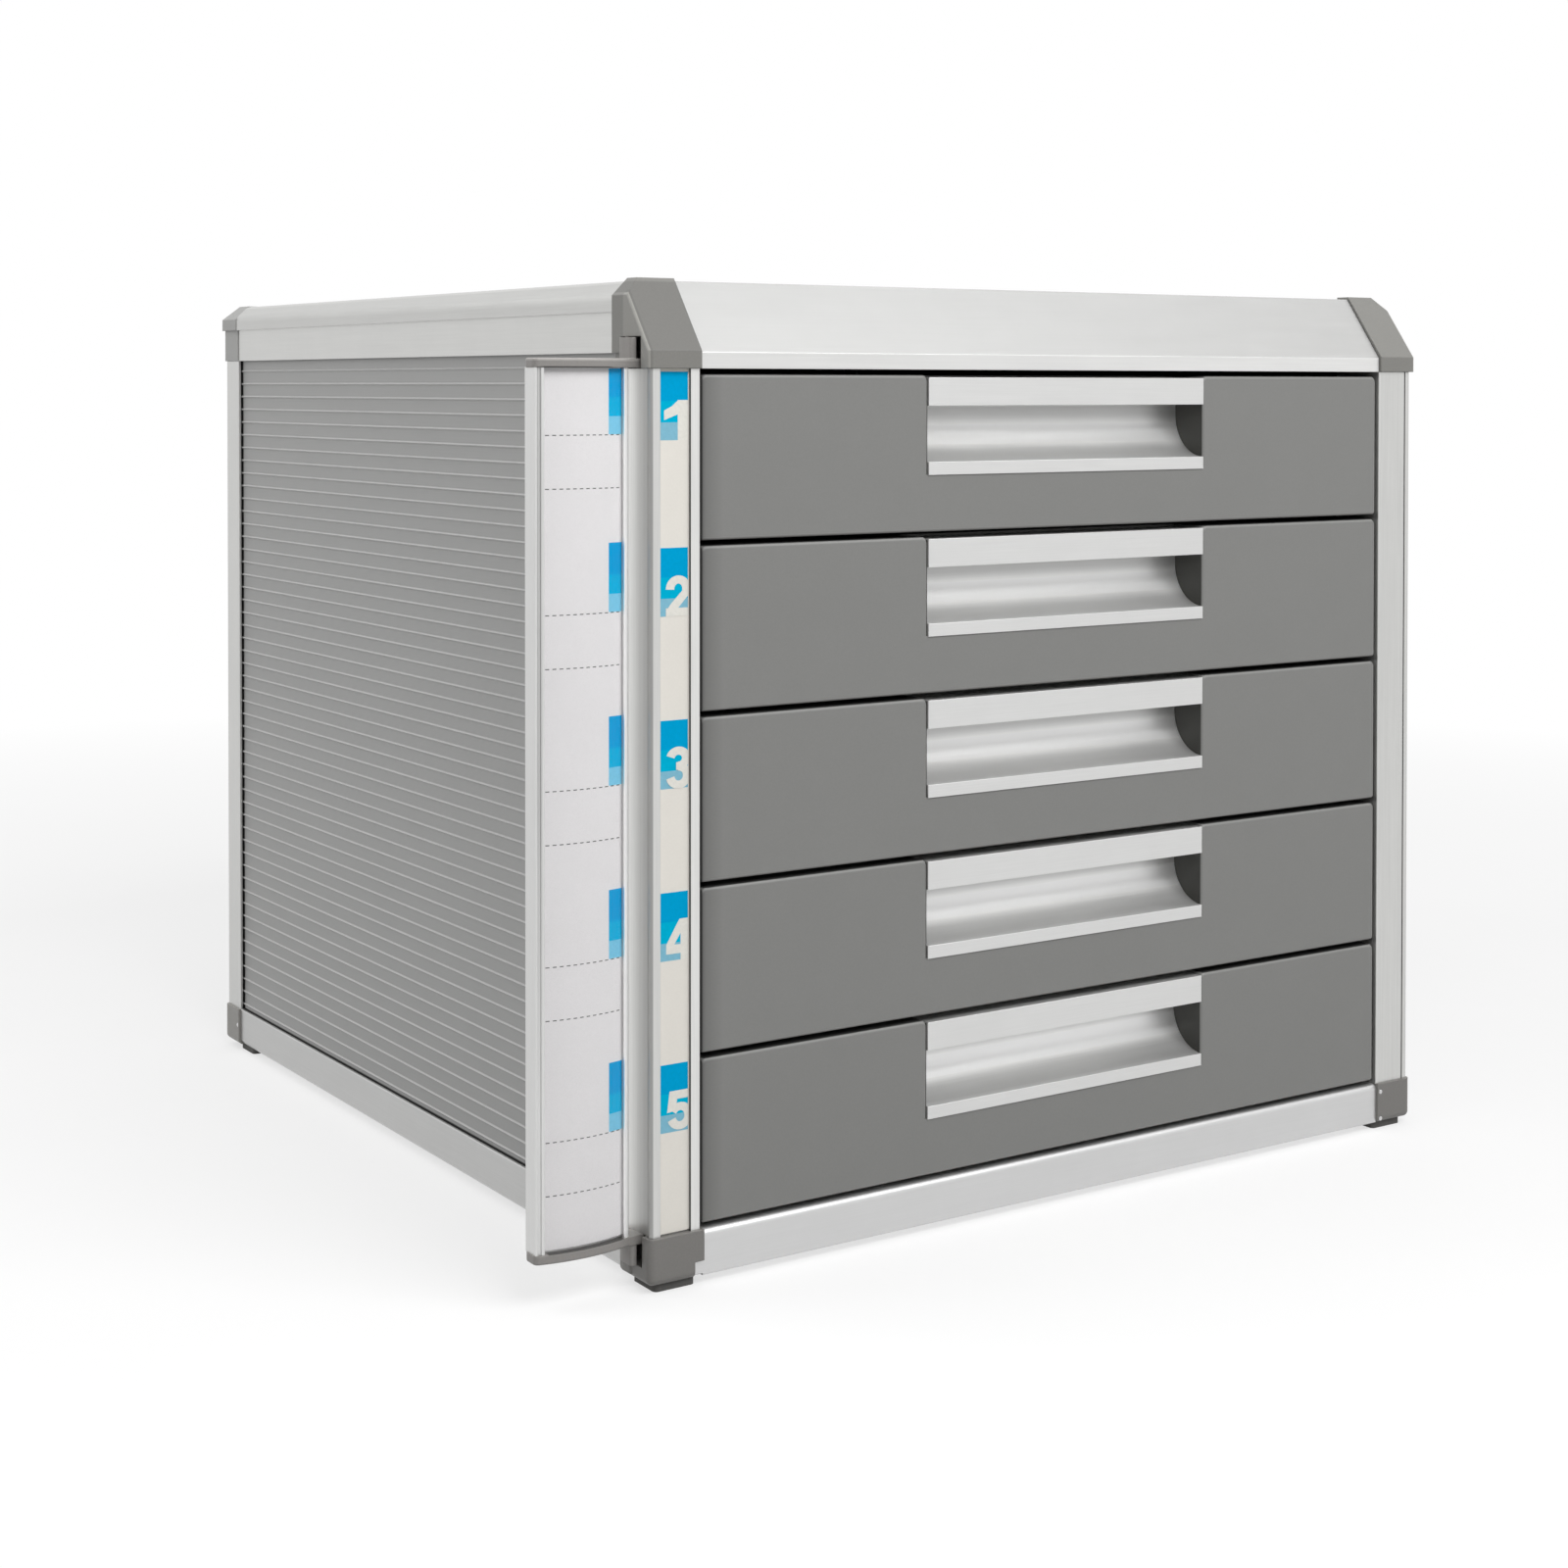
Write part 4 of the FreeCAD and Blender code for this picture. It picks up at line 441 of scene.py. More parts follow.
metal = {
    axis: grained_surface_with_edge_highlight(
        "anodized_" + axis, srgb(200, 200, 198), 0.85, 0.36, stretch, 0.05, 0.12, edge=1.3, edge_radius=0.35
    )
    for axis, stretch in (("x", ALONG_X), ("z", ALONG_Z))
}
top_metal = grained_surface_with_edge_highlight(
    "anodized_top", srgb(178, 178, 177), 0.35, 0.6, ALONG_Y, 0.04, 0.10, edge=1.15, edge_radius=0.35
)
# Painted light: a lighter copy of the anodized finish for the front lower rail.
front_rail_metal = grained_surface_with_edge_highlight(
    "anodized_front_rail", srgb(208, 208, 208), 0.8, 0.38, ALONG_X, 0.02, 0.06, edge=1.2, edge_radius=0.5
)
# Painted shade: a darker copy of the anodized finish for the low side rails, with no painted edge
# highlight.
rail_metal = grained_surface_with_edge_highlight(
    "anodized_rail", srgb(190, 190, 189), 0.85, 0.36, ALONG_Y, 0.05, 0.12, edge=1.0, edge_radius=0.2
)
eave_metal = grained_surface_with_edge_highlight(
    "anodized_eave", srgb(200, 200, 198), 0.85, 0.36, ALONG_Y, 0.04, 0.10, edge=1.25,
    edge_radius=0.35, pattern=eave_painted_shade,
)
label_post_metal = grained_surface_with_edge_highlight(
    "anodized_label_post", srgb(205, 205, 203), 0.85, 0.36, ALONG_Z, 0.05, 0.12, edge=1.2,
    edge_radius=0.3, pattern=label_post_painted_light_and_shade,
)
line_post_metal = grained_surface_with_edge_highlight(
    "anodized_line_post", srgb(205, 205, 203), 0.85, 0.36, ALONG_Z, 0.05, 0.12, edge=1.2,
    edge_radius=0.3, pattern=line_post_shadows,
)
# Painted shade: a darker copy of the anodized finish for the upward slope of the top's front section.
slope_metal = grained_surface_with_edge_highlight(
    "anodized_slope", srgb(182, 182, 181), 0.8, 0.42, ALONG_X, 0.025, 0.07, edge=1.3,
    edge_radius=0.35, pattern=front_section_light_and_shade,
)
index_frame_metal = grained_surface_with_edge_highlight(
    "anodized_index_frame", srgb(214, 214, 213), 0.7, 0.40, ALONG_Z, 0.03, 0.08, edge=1.15,
    edge_radius=0.3, pattern=index_frame_light_and_shade,
)
# Painted shade: a darker copy of the cap plastic for the front bottom caps, low down.
cap_plastic = grained_surface_with_edge_highlight(
    "grey_cap_plastic", srgb(122, 120, 117), 0.0, 0.42, EVEN, 0.05, 0.2, edge=1.3, edge_radius=0.5
)
front_cap_plastic = grained_surface_with_edge_highlight(
    "grey_front_cap_plastic", srgb(127, 126, 122), 0.0, 0.42, EVEN, 0.05, 0.2, edge=1.35, edge_radius=0.5,
    pattern=cap_edge_light_and_shade,
)
# Painted light: a lighter copy of the cap plastic for the rear top caps.
rear_cap_plastic = grained_surface_with_edge_highlight(
    "grey_rear_cap_plastic", srgb(160, 160, 158), 0.0, 0.42, EVEN, 0.05, 0.2, edge=1.2, edge_radius=0.5
)
# Painted light: a lighter copy of the cap plastic for the rear bottom caps.
rear_foot_cap_plastic = grained_surface_with_edge_highlight(
    "grey_rear_foot_cap_plastic", srgb(148, 146, 142), 0.0, 0.42, EVEN, 0.05, 0.2, edge=1.25,
    edge_radius=0.4,
)
index_cap_plastic = grained_surface_with_edge_highlight(
    "grey_index_cap_plastic", srgb(143, 140, 137), 0.0, 0.42, EVEN, 0.05, 0.2, edge=1.25,
    edge_radius=0.4, pattern=index_cap_light_and_shade,
)


def handle_finish(number):
    low = node_mm("drawer_handle_%d" % number)[0]
    return grained_surface_with_edge_highlight(
        "anodized_handle_%d" % number, srgb(216, 216, 215), 0.62, 0.40, ALONG_X, 0.03, 0.08,
        edge=1.6, edge_radius=0.3, pattern=bowl_sheen(low[2] + HANDLE_LIP),
    )


def drawer_finish(number):
    return grained_surface_with_edge_highlight(
        "grey_drawer_plastic_%d" % number, srgb(130, 130, 128), 0.0, 0.46, EVEN, 0.03, 0.12,
        edge=1.2, edge_radius=0.4, pattern=front_edge_light_and_shade(*node_mm("drawer_front_%d" % number)),
    )


tray_plastic = grained_surface_with_edge_highlight(
    "grey_tray_plastic", srgb(140, 140, 138), 0.0, 0.5, EVEN, 0.04, 0.2, edge=1.2, edge_radius=0.4
)
runner_plastic = grained_surface_with_edge_highlight(
    "dark_runner_plastic", srgb(44, 44, 44), 0.0, 0.5, ALONG_Y, 0.06, 0.2, edge=1.3, edge_radius=0.3
)

# Ribbed panels, in millimetres
RIB_PITCH = 5.24
FIRST_RIB = 281.4          # level of the uppermost rib
RIB_HALF = 0.42
RIB_TONE = 0.5             # how far a rib goes towards its painted highlight
SHADOW = 0.9               # dark gap between a panel and the sections round it
SHADOW_FULL = 0.7          # share of that gap in which it is full
FOOT_GAP = (0.35, 0.55)    # above the lower rail
GAP_TONE = 0.93
rail_top = node_mm("lower_rail_left")[1][2]


def ribbed(along, low, high):
    """Painted highlights along the ribs, and painted shadow in the gap at the panel's foot and its two
    upright ends.

    along is the axis that the panel runs in; low and high are its visible ends in metres.
    """

    def pattern(n, color):
        where = n.add("ShaderNodeTexCoord").outputs["Object"]
        split = n.add("ShaderNodeSeparateXYZ", {0: where})
        place_along = split.outputs[along]
        level = split.outputs["Z"]
        steps = n.math("MULTIPLY", n.math("SUBTRACT", level, FIRST_RIB / 1000), 1000 / RIB_PITCH)
        share = n.math("FRACT", n.math("ADD", steps, 1000.5), 0.0)
        off = n.math("MULTIPLY", n.math("ABSOLUTE", n.math("SUBTRACT", share, 0.5), 0.0), RIB_PITCH)
        rib = n.span(off, RIB_HALF - 0.15, RIB_HALF + 0.1, 1.0, 0.0)
        lit = n.blend(n.math("MULTIPLY", rib, RIB_TONE), color, srgb(206, 206, 205))
        gap = SHADOW / 1000
        full = gap * SHADOW_FULL
        first = n.span(place_along, low + gap, low + full, 0.0, 1.0)
        last = n.span(place_along, high - gap, high - full, 0.0, 1.0)
        ends = both(n, either(n, first, last), n.math("SUBTRACT", 1.0, rib))
        foot = n.span(
            level, (rail_top + FOOT_GAP[1]) / 1000, (rail_top + FOOT_GAP[0]) / 1000, 0.0, 1.0
        )
        dark = n.math("MULTIPLY", either(n, ends, foot), GAP_TONE)
        return n.blend(dark, lit, srgb(26, 26, 26))

    return pattern


panel_ends = {
    "x": (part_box("post_rear_left")[1][0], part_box("post_rear_right")[0][0]),
    "y": (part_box("post_front_left")[1][1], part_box("post_rear_left")[0][1]),
}
panel_finish = {
    axis: grained_surface_with_edge_highlight(
        "ribbed_board_" + axis, srgb(160, 160, 159), 0.3, 0.5, stretch, 0.04, 0.15, edge=1.1,
        edge_radius=0.25, pattern=ribbed(index, *panel_ends[axis]),
    )
    for index, (axis, stretch) in enumerate((("x", ALONG_X), ("y", ALONG_Y)))
}
board_finish = grained_surface_with_edge_highlight(
    "plain_board", srgb(160, 160, 159), 0.3, 0.5, ALONG_X, 0.07, 0.2, edge=1.2, edge_radius=0.25
)
film = grained_surface_with_edge_highlight(
    "label_film", srgb(235, 231, 223), 0.0, 0.35, EVEN, 0.015, 0.08, edge=1.02, edge_radius=0.1
)
card = grained_surface_with_edge_highlight(
    "index_card_paper", srgb(239, 237, 238), 0.0, 0.6, EVEN, 0.02, 0.15, edge=1.02, edge_radius=0.1
)
rubber = grained_surface_with_edge_highlight(
    "foot_rubber", srgb(88, 87, 85), 0.0, 0.75, EVEN, 0.15, 0.4, edge=1.3, edge_radius=0.5
)
bright_steel = grained_surface_with_edge_highlight(
    "bright_steel", srgb(205, 205, 205), 1.0, 0.22, EVEN, 0.05, 0.1, edge=1.2, edge_radius=0.2
)
pocket_painted_shade = grained_surface_with_edge_highlight(
    "pocket_painted_shade", srgb(58, 58, 54), 0.0, 0.5, EVEN, 0.08, 0.2, edge=1.2, edge_radius=0.2
)


def ink(name, color, roughness=0.5, specular=0.02):
    """Print: flat colour with a faint mottle."""
    n = Nodes(name)
    mottle = n.span(n.noise(900.0, 2.0), *MOTTLE_SPAN, 0.0, 1.0)
    mixed = n.blend(mottle, shade(color, 0.97), shade(color, 1.03))
    shader = n.add(
        "ShaderNodeBsdfPrincipled",
        {"Base Color": mixed, "Roughness": roughness, "Specular IOR Level": specular},
    )
    return n.finish(shader)


deep_blue = ink("ink_deep_blue", srgb(0, 165, 218))
cyan = ink("ink_cyan", srgb(0, 181, 219))
pale_blue = ink("ink_pale_blue", srgb(134, 192, 214))
bare_film = ink("ink_bare_film", srgb(233, 231, 223), roughness=0.35, specular=0.5)
card_deep_blue = ink("card_deep_blue", srgb(0, 166, 227))
card_cyan = ink("card_cyan", srgb(0, 184, 232))
card_pale_blue = ink("card_pale_blue", srgb(132, 210, 241))
grey_ink = ink("ink_grey", srgb(110, 110, 110))


SHEET_IOR = 1.35
SHEET_SHEEN = 0.2          # share of its mirror image that the clear sheet shows


def clear_sheet():
    """Clear plastic sheet: lets the card show and keeps a weak sheen."""
    n = Nodes("clear_sheet")
    through = n.add("ShaderNodeBsdfTransparent", {"Color": (1, 1, 1, 1)})
    haze = n.span(n.noise(300.0, 3.0), *NOISE_SPAN, 0.10, 0.18)
    gloss = n.add("ShaderNodeBsdfGlossy", {"Color": (1, 1, 1, 1), "Roughness": haze})
    edge = n.add("ShaderNodeFresnel", {"IOR": SHEET_IOR})
    share = n.math("MULTIPLY", edge.outputs[0], SHEET_SHEEN)
    mixed = n.add("ShaderNodeMixShader", {0: share, 1: through.outputs[0], 2: gloss.outputs[0]})
    return n.finish(mixed)


clear = clear_sheet()


def dress(material, *names):
    """Gives nodes of the part their finish."""
    for name in names:
        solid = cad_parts[name]
        if not solid.data.materials:
            solid.data.materials.append(material)
        for slot in solid.material_slots:
            slot.material = material


dress(metal["z"], "post_rear_left", "post_rear_right")
dress(label_post_metal, "post_front_left")
dress(line_post_metal, "post_front_right")
dress(index_frame_metal, "index_frame")
dress(front_rail_metal, "lower_rail_front")
dress(metal["x"], "lower_rail_rear", "upper_rail_rear")
dress(slope_metal, "top_front_rail")
dress(top_metal, "top_panel")
dress(eave_metal, "upper_rail_left", "upper_rail_right")
dress(rail_metal, "lower_rail_left", "lower_rail_right")
dress(panel_finish["y"], "side_panel_left", "side_panel_right")
dress(panel_finish["x"], "back_panel")
dress(board_finish, "base_panel")
dress(cap_plastic, "bottom_cap_front_left", "bottom_cap_front_right")
dress(rear_foot_cap_plastic, "bottom_cap_rear_left", "bottom_cap_rear_right")
dress(front_cap_plastic, "top_cap_front_left", "top_cap_front_right")
dress(rear_cap_plastic, "top_cap_rear_left", "top_cap_rear_right")
dress(index_cap_plastic, "index_cap_top", "index_cap_bottom")
dress(runner_plastic, "runner_left", "runner_right")
dress(film, "label_strip")
dress(card, "index_card")
dress(clear, "index_cover")
dress(rubber, "feet")
dress(bright_steel, "frame_pins", "runner_screws")
for number in range(1, DRAWERS + 1):
    dress(drawer_finish(number), "drawer_front_%d" % number)
    dress(handle_finish(number), "drawer_handle_%d" % number)
    dress(tray_plastic, "drawer_tray_%d" % number)
    dress(bright_steel, "drawer_screws_%d" % number)


# Print and small trim

def piece(name, vertices, faces, material, body):
    """Mesh from places in millimetres, which moves with a body of the part."""
    mesh = bpy.data.meshes.new(name)
    mesh.from_pydata([place(*vertex) for vertex in vertices], [], faces)
    mesh.update()
    thing = bpy.data.objects.new(name, mesh)
    bpy.context.scene.collection.objects.link(thing)
    mesh.materials.append(material)
    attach(thing, body)
    return thing


def patches(name, rectangles, material, body):
    """Flat rectangles that face the front, each given as x0, x1, y, z0, z1."""
    vertices = []
    faces = []
    for x0, x1, y, z0, z1 in rectangles:
        first = len(vertices)
        vertices += [(x0, y, z0), (x1, y, z0), (x1, y, z1), (x0, y, z1)]
        faces.append((first, first + 1, first + 2, first + 3))
    return piece(name, vertices, faces, material, body)


BLOCK_LEFT = 3.55
BLOCK_RIGHT = 13.7
BLOCK_BASE = 48.3          # lower edge of the last block
BLOCK_HEIGHT = 20.8
BLOCK_PITCH = 52.45
FIRST_RISE = 1.0           # the first block sits a little higher
DEEP_SHARE = 0.43          # share of a block in the deep tone, from its top
CYAN_SHARE = 0.31
STRIP_MARGIN = 0.4         # bare end of the strip above the first block
PRINT = 0.02               # print lies this far in front of its sheet
strip_low, strip_high = node_mm("label_strip")
ink_y = strip_low[1] - PRINT


def print_base(number, last, first_rise):
    """Lower edge of a drawer's block or tab; last is that of the lowest drawer's."""
    return last + BLOCK_PITCH * (DRAWERS - number) + (first_rise if number == 1 else 0)


tones = {"deep": [], "cyan": [], "pale": []}
for number in range(1, DRAWERS + 1):
    base = print_base(number, BLOCK_BASE, FIRST_RISE)
    top = min(base + BLOCK_HEIGHT, strip_high[2] - STRIP_MARGIN)
    deep_end = base + BLOCK_HEIGHT * (1 - DEEP_SHARE)
    cyan_end = deep_end - BLOCK_HEIGHT * CYAN_SHARE
    tones["deep"].append((BLOCK_LEFT, BLOCK_RIGHT, ink_y, deep_end, top))
    tones["cyan"].append((BLOCK_LEFT, BLOCK_RIGHT, ink_y, cyan_end, deep_end))
    tones["pale"].append((BLOCK_LEFT, BLOCK_RIGHT, ink_y, base, cyan_end))
patches("strip_blocks_deep", tones["deep"], deep_blue, "cabinet")
patches("strip_blocks_cyan", tones["cyan"], cyan, "cabinet")
patches("strip_blocks_pale", tones["pale"], pale_blue, "cabinet")

STROKE = 3.0               # numerals' upright strokes
LEVEL_STROKE = 2.5
CUT = BLOCK_RIGHT + 0.05   # the flange hides the rest of each numeral
SHEET_STEP = 0.002         # each shape of a numeral lies a little in front of the one before
NUMERAL_SINK = 0.1         # a round stroke may reach this far below its block
ARC_STEPS = 20


def pen(points):
    """Quadrangles of a stroke along a line of points."""
    quads = []
    for index in range(len(points) - 1):
        sides = []
        for here in (index, index + 1):
            before = points[max(here - 1, 0)]
            after = points[min(here + 1, len(points) - 1)]
            run = after[0] - before[0]
            rise = after[1] - before[1]
            length = math.hypot(run, rise)
            aside = -rise / length * STROKE / 2
            up = run / length * LEVEL_STROKE / 2
            x, z = points[here]
            sides.append(((x + aside, z + up), (x - aside, z - up)))
        quads.append([sides[0][0], sides[0][1], sides[1][1], sides[1][0]])
    return quads


def arc(x, z, half_width, half_height, first, last):
    """Points of an arc, its angles in degrees from the right, anticlockwise."""
    angles = [math.radians(first + (last - first) * step / ARC_STEPS) for step in range(ARC_STEPS + 1)]
    return [(x + half_width * math.cos(a), z + half_height * math.sin(a)) for a in angles]


# Each numeral as flat shapes, x in the strip and z from its block's lower edge
NUMERALS = {
    1: [
        [(10.1, 0), (CUT, 0), (CUT, 12.2), (10.1, 12.2)],
        [(10.3, 12.2), (8.0, 10.3), (5.3, 9.0), (5.3, 6.1), (10.3, 7.9)],
    ],
    2: pen(arc(10.3, 8.2, 2.9, 2.9, 182, -25) + [(8.8, 3.0), (7.4, 1.2)])
    + [[(5.9, 0), (CUT, 0), (CUT, 2.5), (5.9, 2.5)]],
    3: pen(arc(10.3, 9.1, 2.8, 2.3, 168, -90))
    + pen(arc(10.4, 3.8, 3.0, 2.75, 90, -170))
    + [[(9.5, 5.6), (10.5, 5.5), (10.5, 8.0), (9.5, 7.9)]],
    4: [
        [(6.0, 4.9), (8.8, 4.7), (11.1, 8.1), (11.1, 12.5), (10.7, 12.5)],
        [(11.1, 0), (CUT, 0), (CUT, 12.5), (11.1, 12.5)],
        [(6.0, 2.0), (11.1, 2.0), (11.1, 4.7), (6.0, 4.9)],
    ],
    5: [
        [(7.2, 12.5), (6.3, 6.0), (9.3, 6.4), (9.9, 9.9), (CUT, 9.9), (CUT, 12.5)],
    ]
    + pen(arc(10.9, 4.6, 3.05, 2.95, 148, -165)),
}


def numeral(number):
    """Plain numeral left free in the lower right of a block, in the film's own tone."""
    base = print_base(number, BLOCK_BASE, FIRST_RISE)
    vertices = []
    faces = []
    depth = ink_y - PRINT
    for shape in NUMERALS[number]:
        corners = [(min(x, CUT), base + max(z, -NUMERAL_SINK)) for x, z in shape]
        turn = sum(
            before[0] * after[1] - after[0] * before[1]
            for before, after in zip(corners[-1:] + corners[:-1], corners)
        )
        if turn < 0:        # every shape is turned to face the front
            corners.reverse()
        first = len(vertices)
        vertices += [(x, depth, z) for x, z in corners]
        faces.append(tuple(range(first, first + len(corners))))
        depth -= SHEET_STEP
    return piece("strip_numeral_%d" % number, vertices, faces, bare_film, "cabinet")


for number in range(1, DRAWERS + 1):
    numeral(number)

# The card's print follows the panel's crown
INDEX_CROWN = 2.3
CARD_DEPTH = 1.6
index_low, index_high = node_mm("index_frame")
card_low, card_high = node_mm("index_card")
index_width = index_high[0] - index_low[0]
index_middle = (index_high[0] + index_low[0]) / 2
crown_radius = index_width ** 2 / (8 * INDEX_CROWN) + INDEX_CROWN / 2
crown_centre = card_low[1] - CARD_DEPTH + crown_radius


def card_y(x):
    """Place of the card's print towards the back."""
    radius = crown_radius - CARD_DEPTH + PRINT
    return crown_centre - math.sqrt(radius ** 2 - (x - index_middle) ** 2)


CURVE_STEP = 1.2           # width of the flat strips that a curved patch is made of


def curved_patches(name, rectangles, material):
    """Rectangles on the card, each given as x0, x1, z0, z1."""
    vertices = []
    faces = []
    for x0, x1, z0, z1 in rectangles:
        steps = max(1, round((x1 - x0) / CURVE_STEP))
        first = len(vertices)
        for step in range(steps + 1):
            x = x0 + (x1 - x0) * step / steps
            vertices += [(x, card_y(x), z0), (x, card_y(x), z1)]
        for step in range(steps):
            a = first + 2 * step
            faces.append((a, a + 2, a + 3, a + 1))
    return piece(name, vertices, faces, material, "index_panel")


TAB_LEFT = -10.9
TAB_RIGHT = -5.8
TAB_BASE = 50.1
TAB_HEIGHT = 20.9
TAB_FIRST_RISE = 1.1
TAB_DEEP_SHARE = 0.46
TAB_PALE_SHARE = 0.26
CARD_MARGIN = 0.2
RULE_LEFT = -32.2
RULE_DROP = 16.0           # second rule below the first
RULE_WIDTH = 0.3
DASH = 1.2
DASH_GAP = 1.0

tabs = {"deep": [], "cyan": [], "pale": []}
dashes = []
for number in range(1, DRAWERS + 1):
    base = print_base(number, TAB_BASE, TAB_FIRST_RISE)
    top = min(base + TAB_HEIGHT, card_high[2] - CARD_MARGIN)
    deep_end = base + TAB_HEIGHT * (1 - TAB_DEEP_SHARE)
    cyan_end = base + TAB_HEIGHT * TAB_PALE_SHARE
    tabs["deep"].append((TAB_LEFT, TAB_RIGHT, deep_end, top))
    tabs["cyan"].append((TAB_LEFT, TAB_RIGHT, cyan_end, deep_end))
    tabs["pale"].append((TAB_LEFT, TAB_RIGHT, base, cyan_end))
    for level in (base, base - RULE_DROP):
        x = RULE_LEFT
        while x + DASH < TAB_RIGHT:
            dashes.append((x, x + DASH, level - RULE_WIDTH, level))
            x += DASH + DASH_GAP
curved_patches("card_tabs_deep", tabs["deep"], card_deep_blue)
curved_patches("card_tabs_cyan", tabs["cyan"], card_cyan)
curved_patches("card_tabs_pale", tabs["pale"], card_pale_blue)
curved_patches("card_rules", dashes, grey_ink)

# Painted shade: thin dark plates at the pockets' ends, in the play beside each handle, where there is only
# shade
SHADE_PLATE = 0.05
SHADE_PLATE_OUT = 0.10          # from the handle's end
SHADE_PLATE_FRONT = 0.9         # and the distances from its other sides
SHADE_PLATE_BACK = 0.1
SHADE_PLATE_FOOT = 0.2
SHADE_PLATE_HEAD = 0.4


def pocket_shade_plates(number):
    """Thin dark plate of painted shade at each end of a handle."""
    low, high = node_mm("drawer_handle_%d" % number)
    y0 = low[1] + SHADE_PLATE_FRONT
    y1 = high[1] - SHADE_PLATE_BACK
    z0 = low[2] + SHADE_PLATE_FOOT
    z1 = high[2] - SHADE_PLATE_HEAD
    vertices = []
    faces = []
    for x, side in ((low[0] - SHADE_PLATE_OUT, 1), (high[0] + SHADE_PLATE_OUT, -1)):
        a = len(vertices)
        for face_x in (x, x + side * SHADE_PLATE):
            vertices += [(face_x, y0, z0), (face_x, y1, z0), (face_x, y1, z1), (face_x, y0, z1)]
        faces += [
            (a, a + 1, a + 2, a + 3),
            (a + 7, a + 6, a + 5, a + 4),
            (a, a + 4, a + 5, a + 1),
            (a + 1, a + 5, a + 6, a + 2),
            (a + 2, a + 6, a + 7, a + 3),
            (a + 3, a + 7, a + 4, a),
        ]
    piece(
        "pocket_linings_%d" % number, vertices, faces, pocket_painted_shade, "drawer_%d" % number
    )


for number in range(1, DRAWERS + 1):
    pocket_shade_plates(number)

# Floor: pale near the organizer, and far from it one with the white background

FLOOR_RADIUS = 4.0
FLOOR_SIDES = 96
FLOOR_DROP = 0.0001        # keeps the floor clear of the feet
FLOOR_BOUNCE = 0.42        # share of light that the floor gives back to the organizer
FADE_FROM = 0.50           # distances between which the floor fades into the white
FADE_TO = 1.2
NEAR_WHITE = 0.62          # share of white in the floor near the organizer


def grey(level):
    return (level, level, level, 1)


def floor_material():
    """Pale floor that keeps the shadow near the organizer and is white far from it."""
    n = Nodes("floor_pale")
    where = n.add("ShaderNodeTexCoord").outputs["Object"]
    distance = n.add("ShaderNodeVectorMath", {0: where}, operation="LENGTH").outputs["Value"]
    far = n.span(distance, FADE_FROM, FADE_TO, NEAR_WHITE, 1.0)
    speckle = n.span(n.noise(8.0, 3.0), *NOISE_SPAN, 0.0, 1.0)
    tint = n.blend(speckle, grey(0.93), grey(0.95))
    path = n.add("ShaderNodeLightPath")
    given_back = n.blend(path.outputs["Is Diffuse Ray"], tint, grey(FLOOR_BOUNCE))
    near = n.add("ShaderNodeBsdfDiffuse", {"Color": given_back})
    white = n.add("ShaderNodeEmission", {"Color": grey(1), "Strength": 1.0})
    sees = either(n, path.outputs["Is Camera Ray"], path.outputs["Is Glossy Ray"])
    sees = either(n, sees, path.outputs["Is Transmission Ray"])
    share = n.math("MULTIPLY", far, sees)
    return n.finish(n.add("ShaderNodeMixShader", {0: share, 1: near.outputs[0], 2: white.outputs[0]}))


turns = [2 * math.pi * side / FLOOR_SIDES for side in range(FLOOR_SIDES)]
rim = [(FLOOR_RADIUS * math.cos(turn), FLOOR_RADIUS * math.sin(turn), -FLOOR_DROP) for turn in turns]
floor_mesh = bpy.data.meshes.new("floor")
floor_mesh.from_pydata(rim, [], [tuple(range(FLOOR_SIDES))])
floor_mesh.materials.append(floor_material())
floor = bpy.data.objects.new("floor", floor_mesh)
bpy.context.scene.collection.objects.link(floor)


# World and lamps

AMBIENT = 0.36             # light from all around; the background itself is white

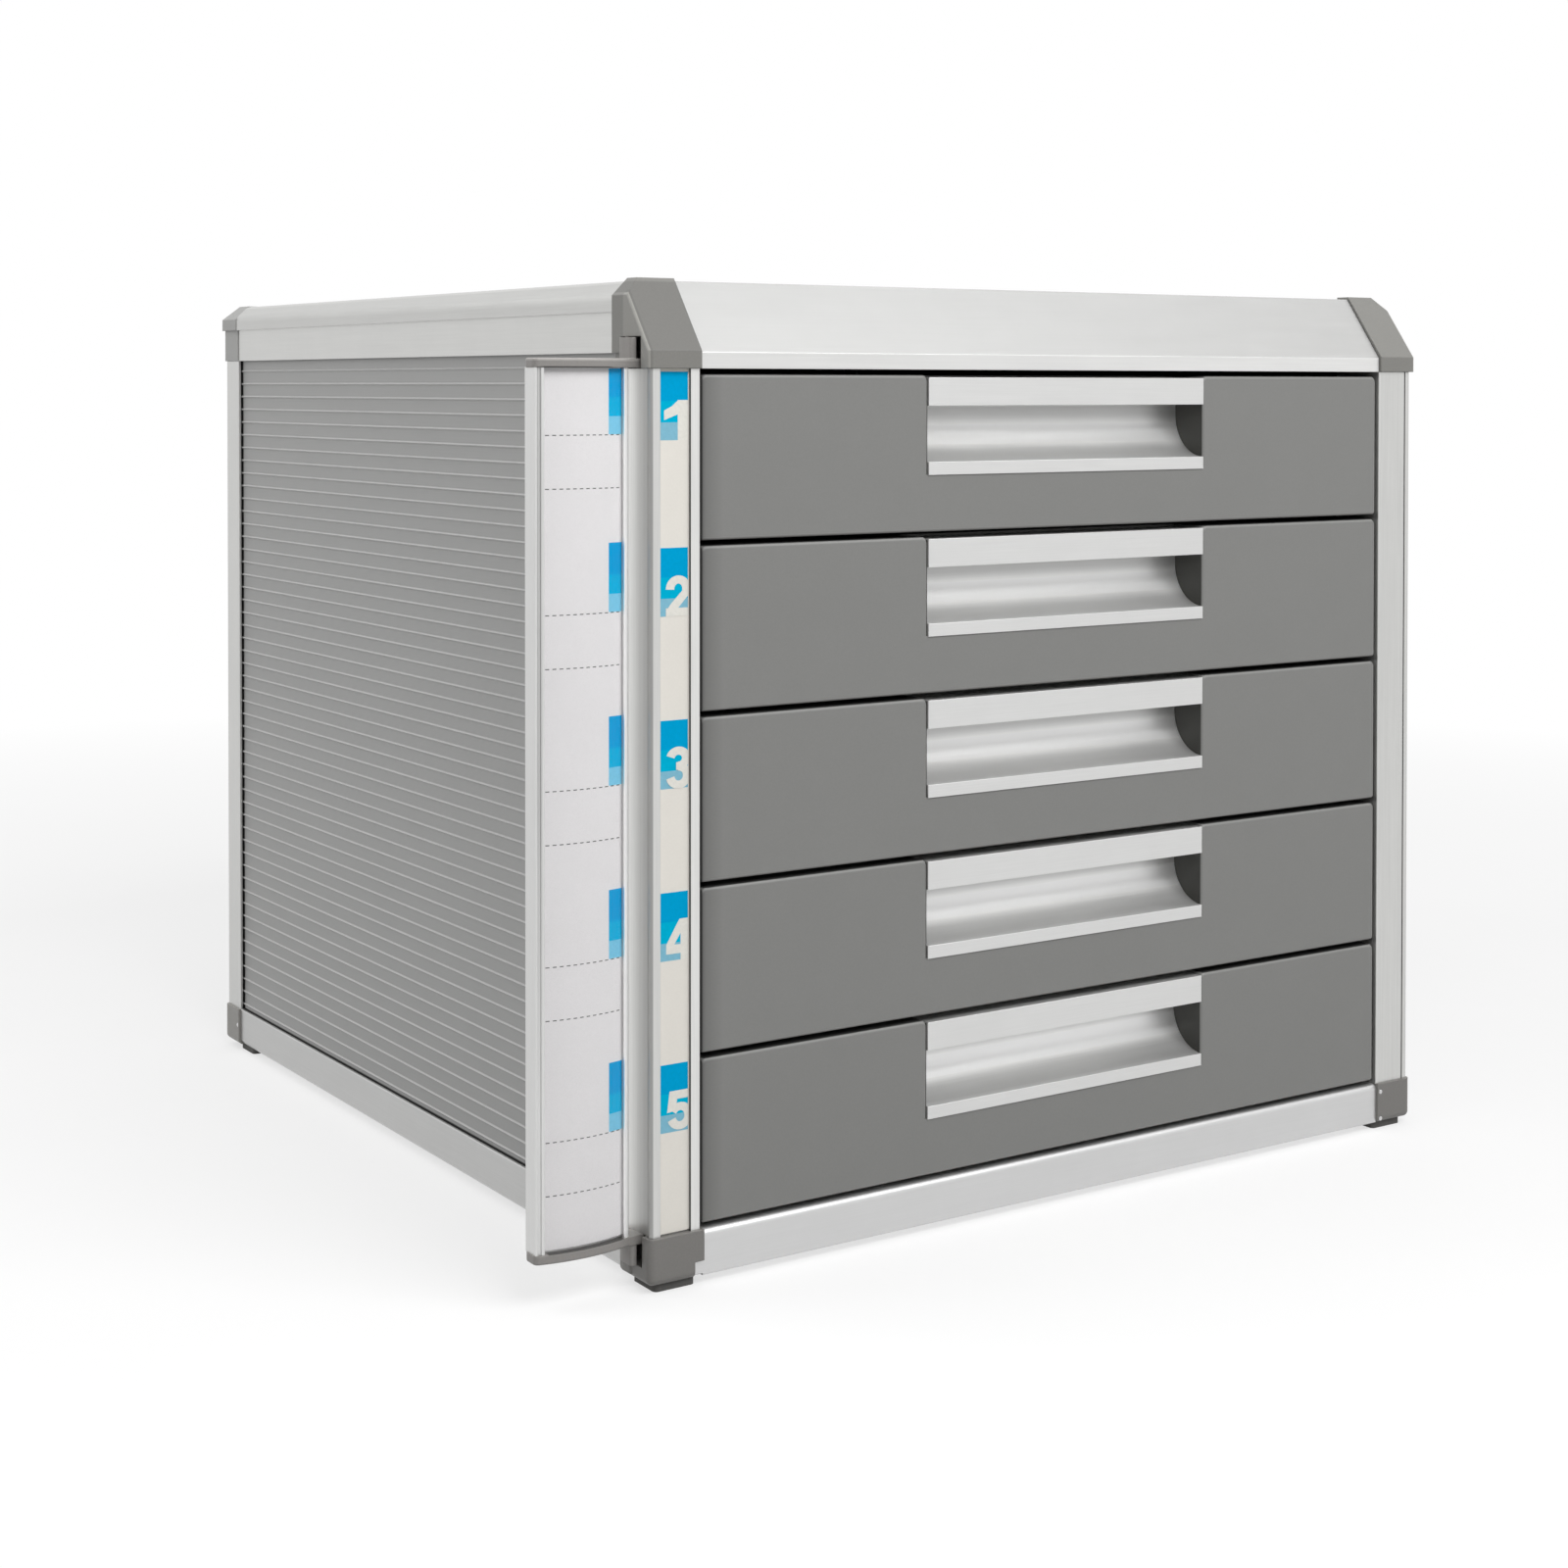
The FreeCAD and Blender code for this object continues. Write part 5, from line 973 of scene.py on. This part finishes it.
world = bpy.data.worlds.new("studio")
bpy.context.scene.world = world
world.use_nodes = True
tree = world.node_tree
tree.nodes.clear()
path = tree.nodes.new("ShaderNodeLightPath")
seen = path.outputs["Is Camera Ray"]
for ray in ("Is Glossy Ray", "Is Transmission Ray"):
    either_ray = tree.nodes.new("ShaderNodeMath")
    either_ray.operation = "MAXIMUM"
    tree.links.new(seen, either_ray.inputs[0])
    tree.links.new(path.outputs[ray], either_ray.inputs[1])
    seen = either_ray.outputs[0]
level = tree.nodes.new("ShaderNodeMapRange")
level.inputs["To Min"].default_value = AMBIENT
level.inputs["To Max"].default_value = 1.0
tree.links.new(seen, level.inputs["Value"])
background = tree.nodes.new("ShaderNodeBackground")
background.inputs["Color"].default_value = (1, 1, 1, 1)
tree.links.new(level.outputs[0], background.inputs["Strength"])
surface = tree.nodes.new("ShaderNodeOutputWorld")
tree.links.new(background.outputs[0], surface.inputs["Surface"])


def softbox(name, power, size, position, target):
    """Rectangular lamp that is aimed at a point."""
    lamp = bpy.data.lights.new(name, "AREA")
    lamp.shape = "RECTANGLE"
    lamp.size, lamp.size_y = size
    lamp.energy = power
    thing = bpy.data.objects.new(name, lamp)
    thing.location = position
    aim = [t - p for t, p in zip(target, position)]
    yaw = math.atan2(aim[0], aim[1])
    pitch = math.atan2(aim[2], math.hypot(aim[0], aim[1]))
    thing.rotation_euler = Euler((math.pi / 2 + pitch, 0, -yaw), "XYZ")
    bpy.context.scene.collection.objects.link(thing)
    return thing


MIDDLE = (0.0, 0.0, 0.15)
softbox("overhead", 7.2, (2.6, 2.2), (0.3, -0.3, 2.0), MIDDLE)
softbox("front", 11.8, (1.2, 0.6), (0.08, -0.98, 1.05), MIDDLE)
softbox("left", 6.0, (0.6, 1.2), (-0.9, 0.4, 1.0), MIDDLE)


# Camera, where the photographer stood
EYE = (-382.6, -654.5, 275.6)
LOOKS_DOWN = 1.008
LEAN = -0.04
LOOKS_RIGHT = 33.35
LENS = 57.74
SHIFT = -0.2257            # of the picture on the sensor, as a share of its width

view = bpy.data.cameras.new("camera")
view.sensor_width = 36.0
view.sensor_fit = "HORIZONTAL"
view.lens = LENS
view.shift_y = SHIFT
camera = bpy.data.objects.new("camera", view)
camera.location = place(*EYE)
camera.rotation_euler = Euler(
    (math.radians(90 - LOOKS_DOWN), math.radians(LEAN), math.radians(-LOOKS_RIGHT)), "XYZ"
)
bpy.context.scene.collection.objects.link(camera)
bpy.context.scene.camera = camera
bpy.context.scene.view_settings.view_transform = "Standard"
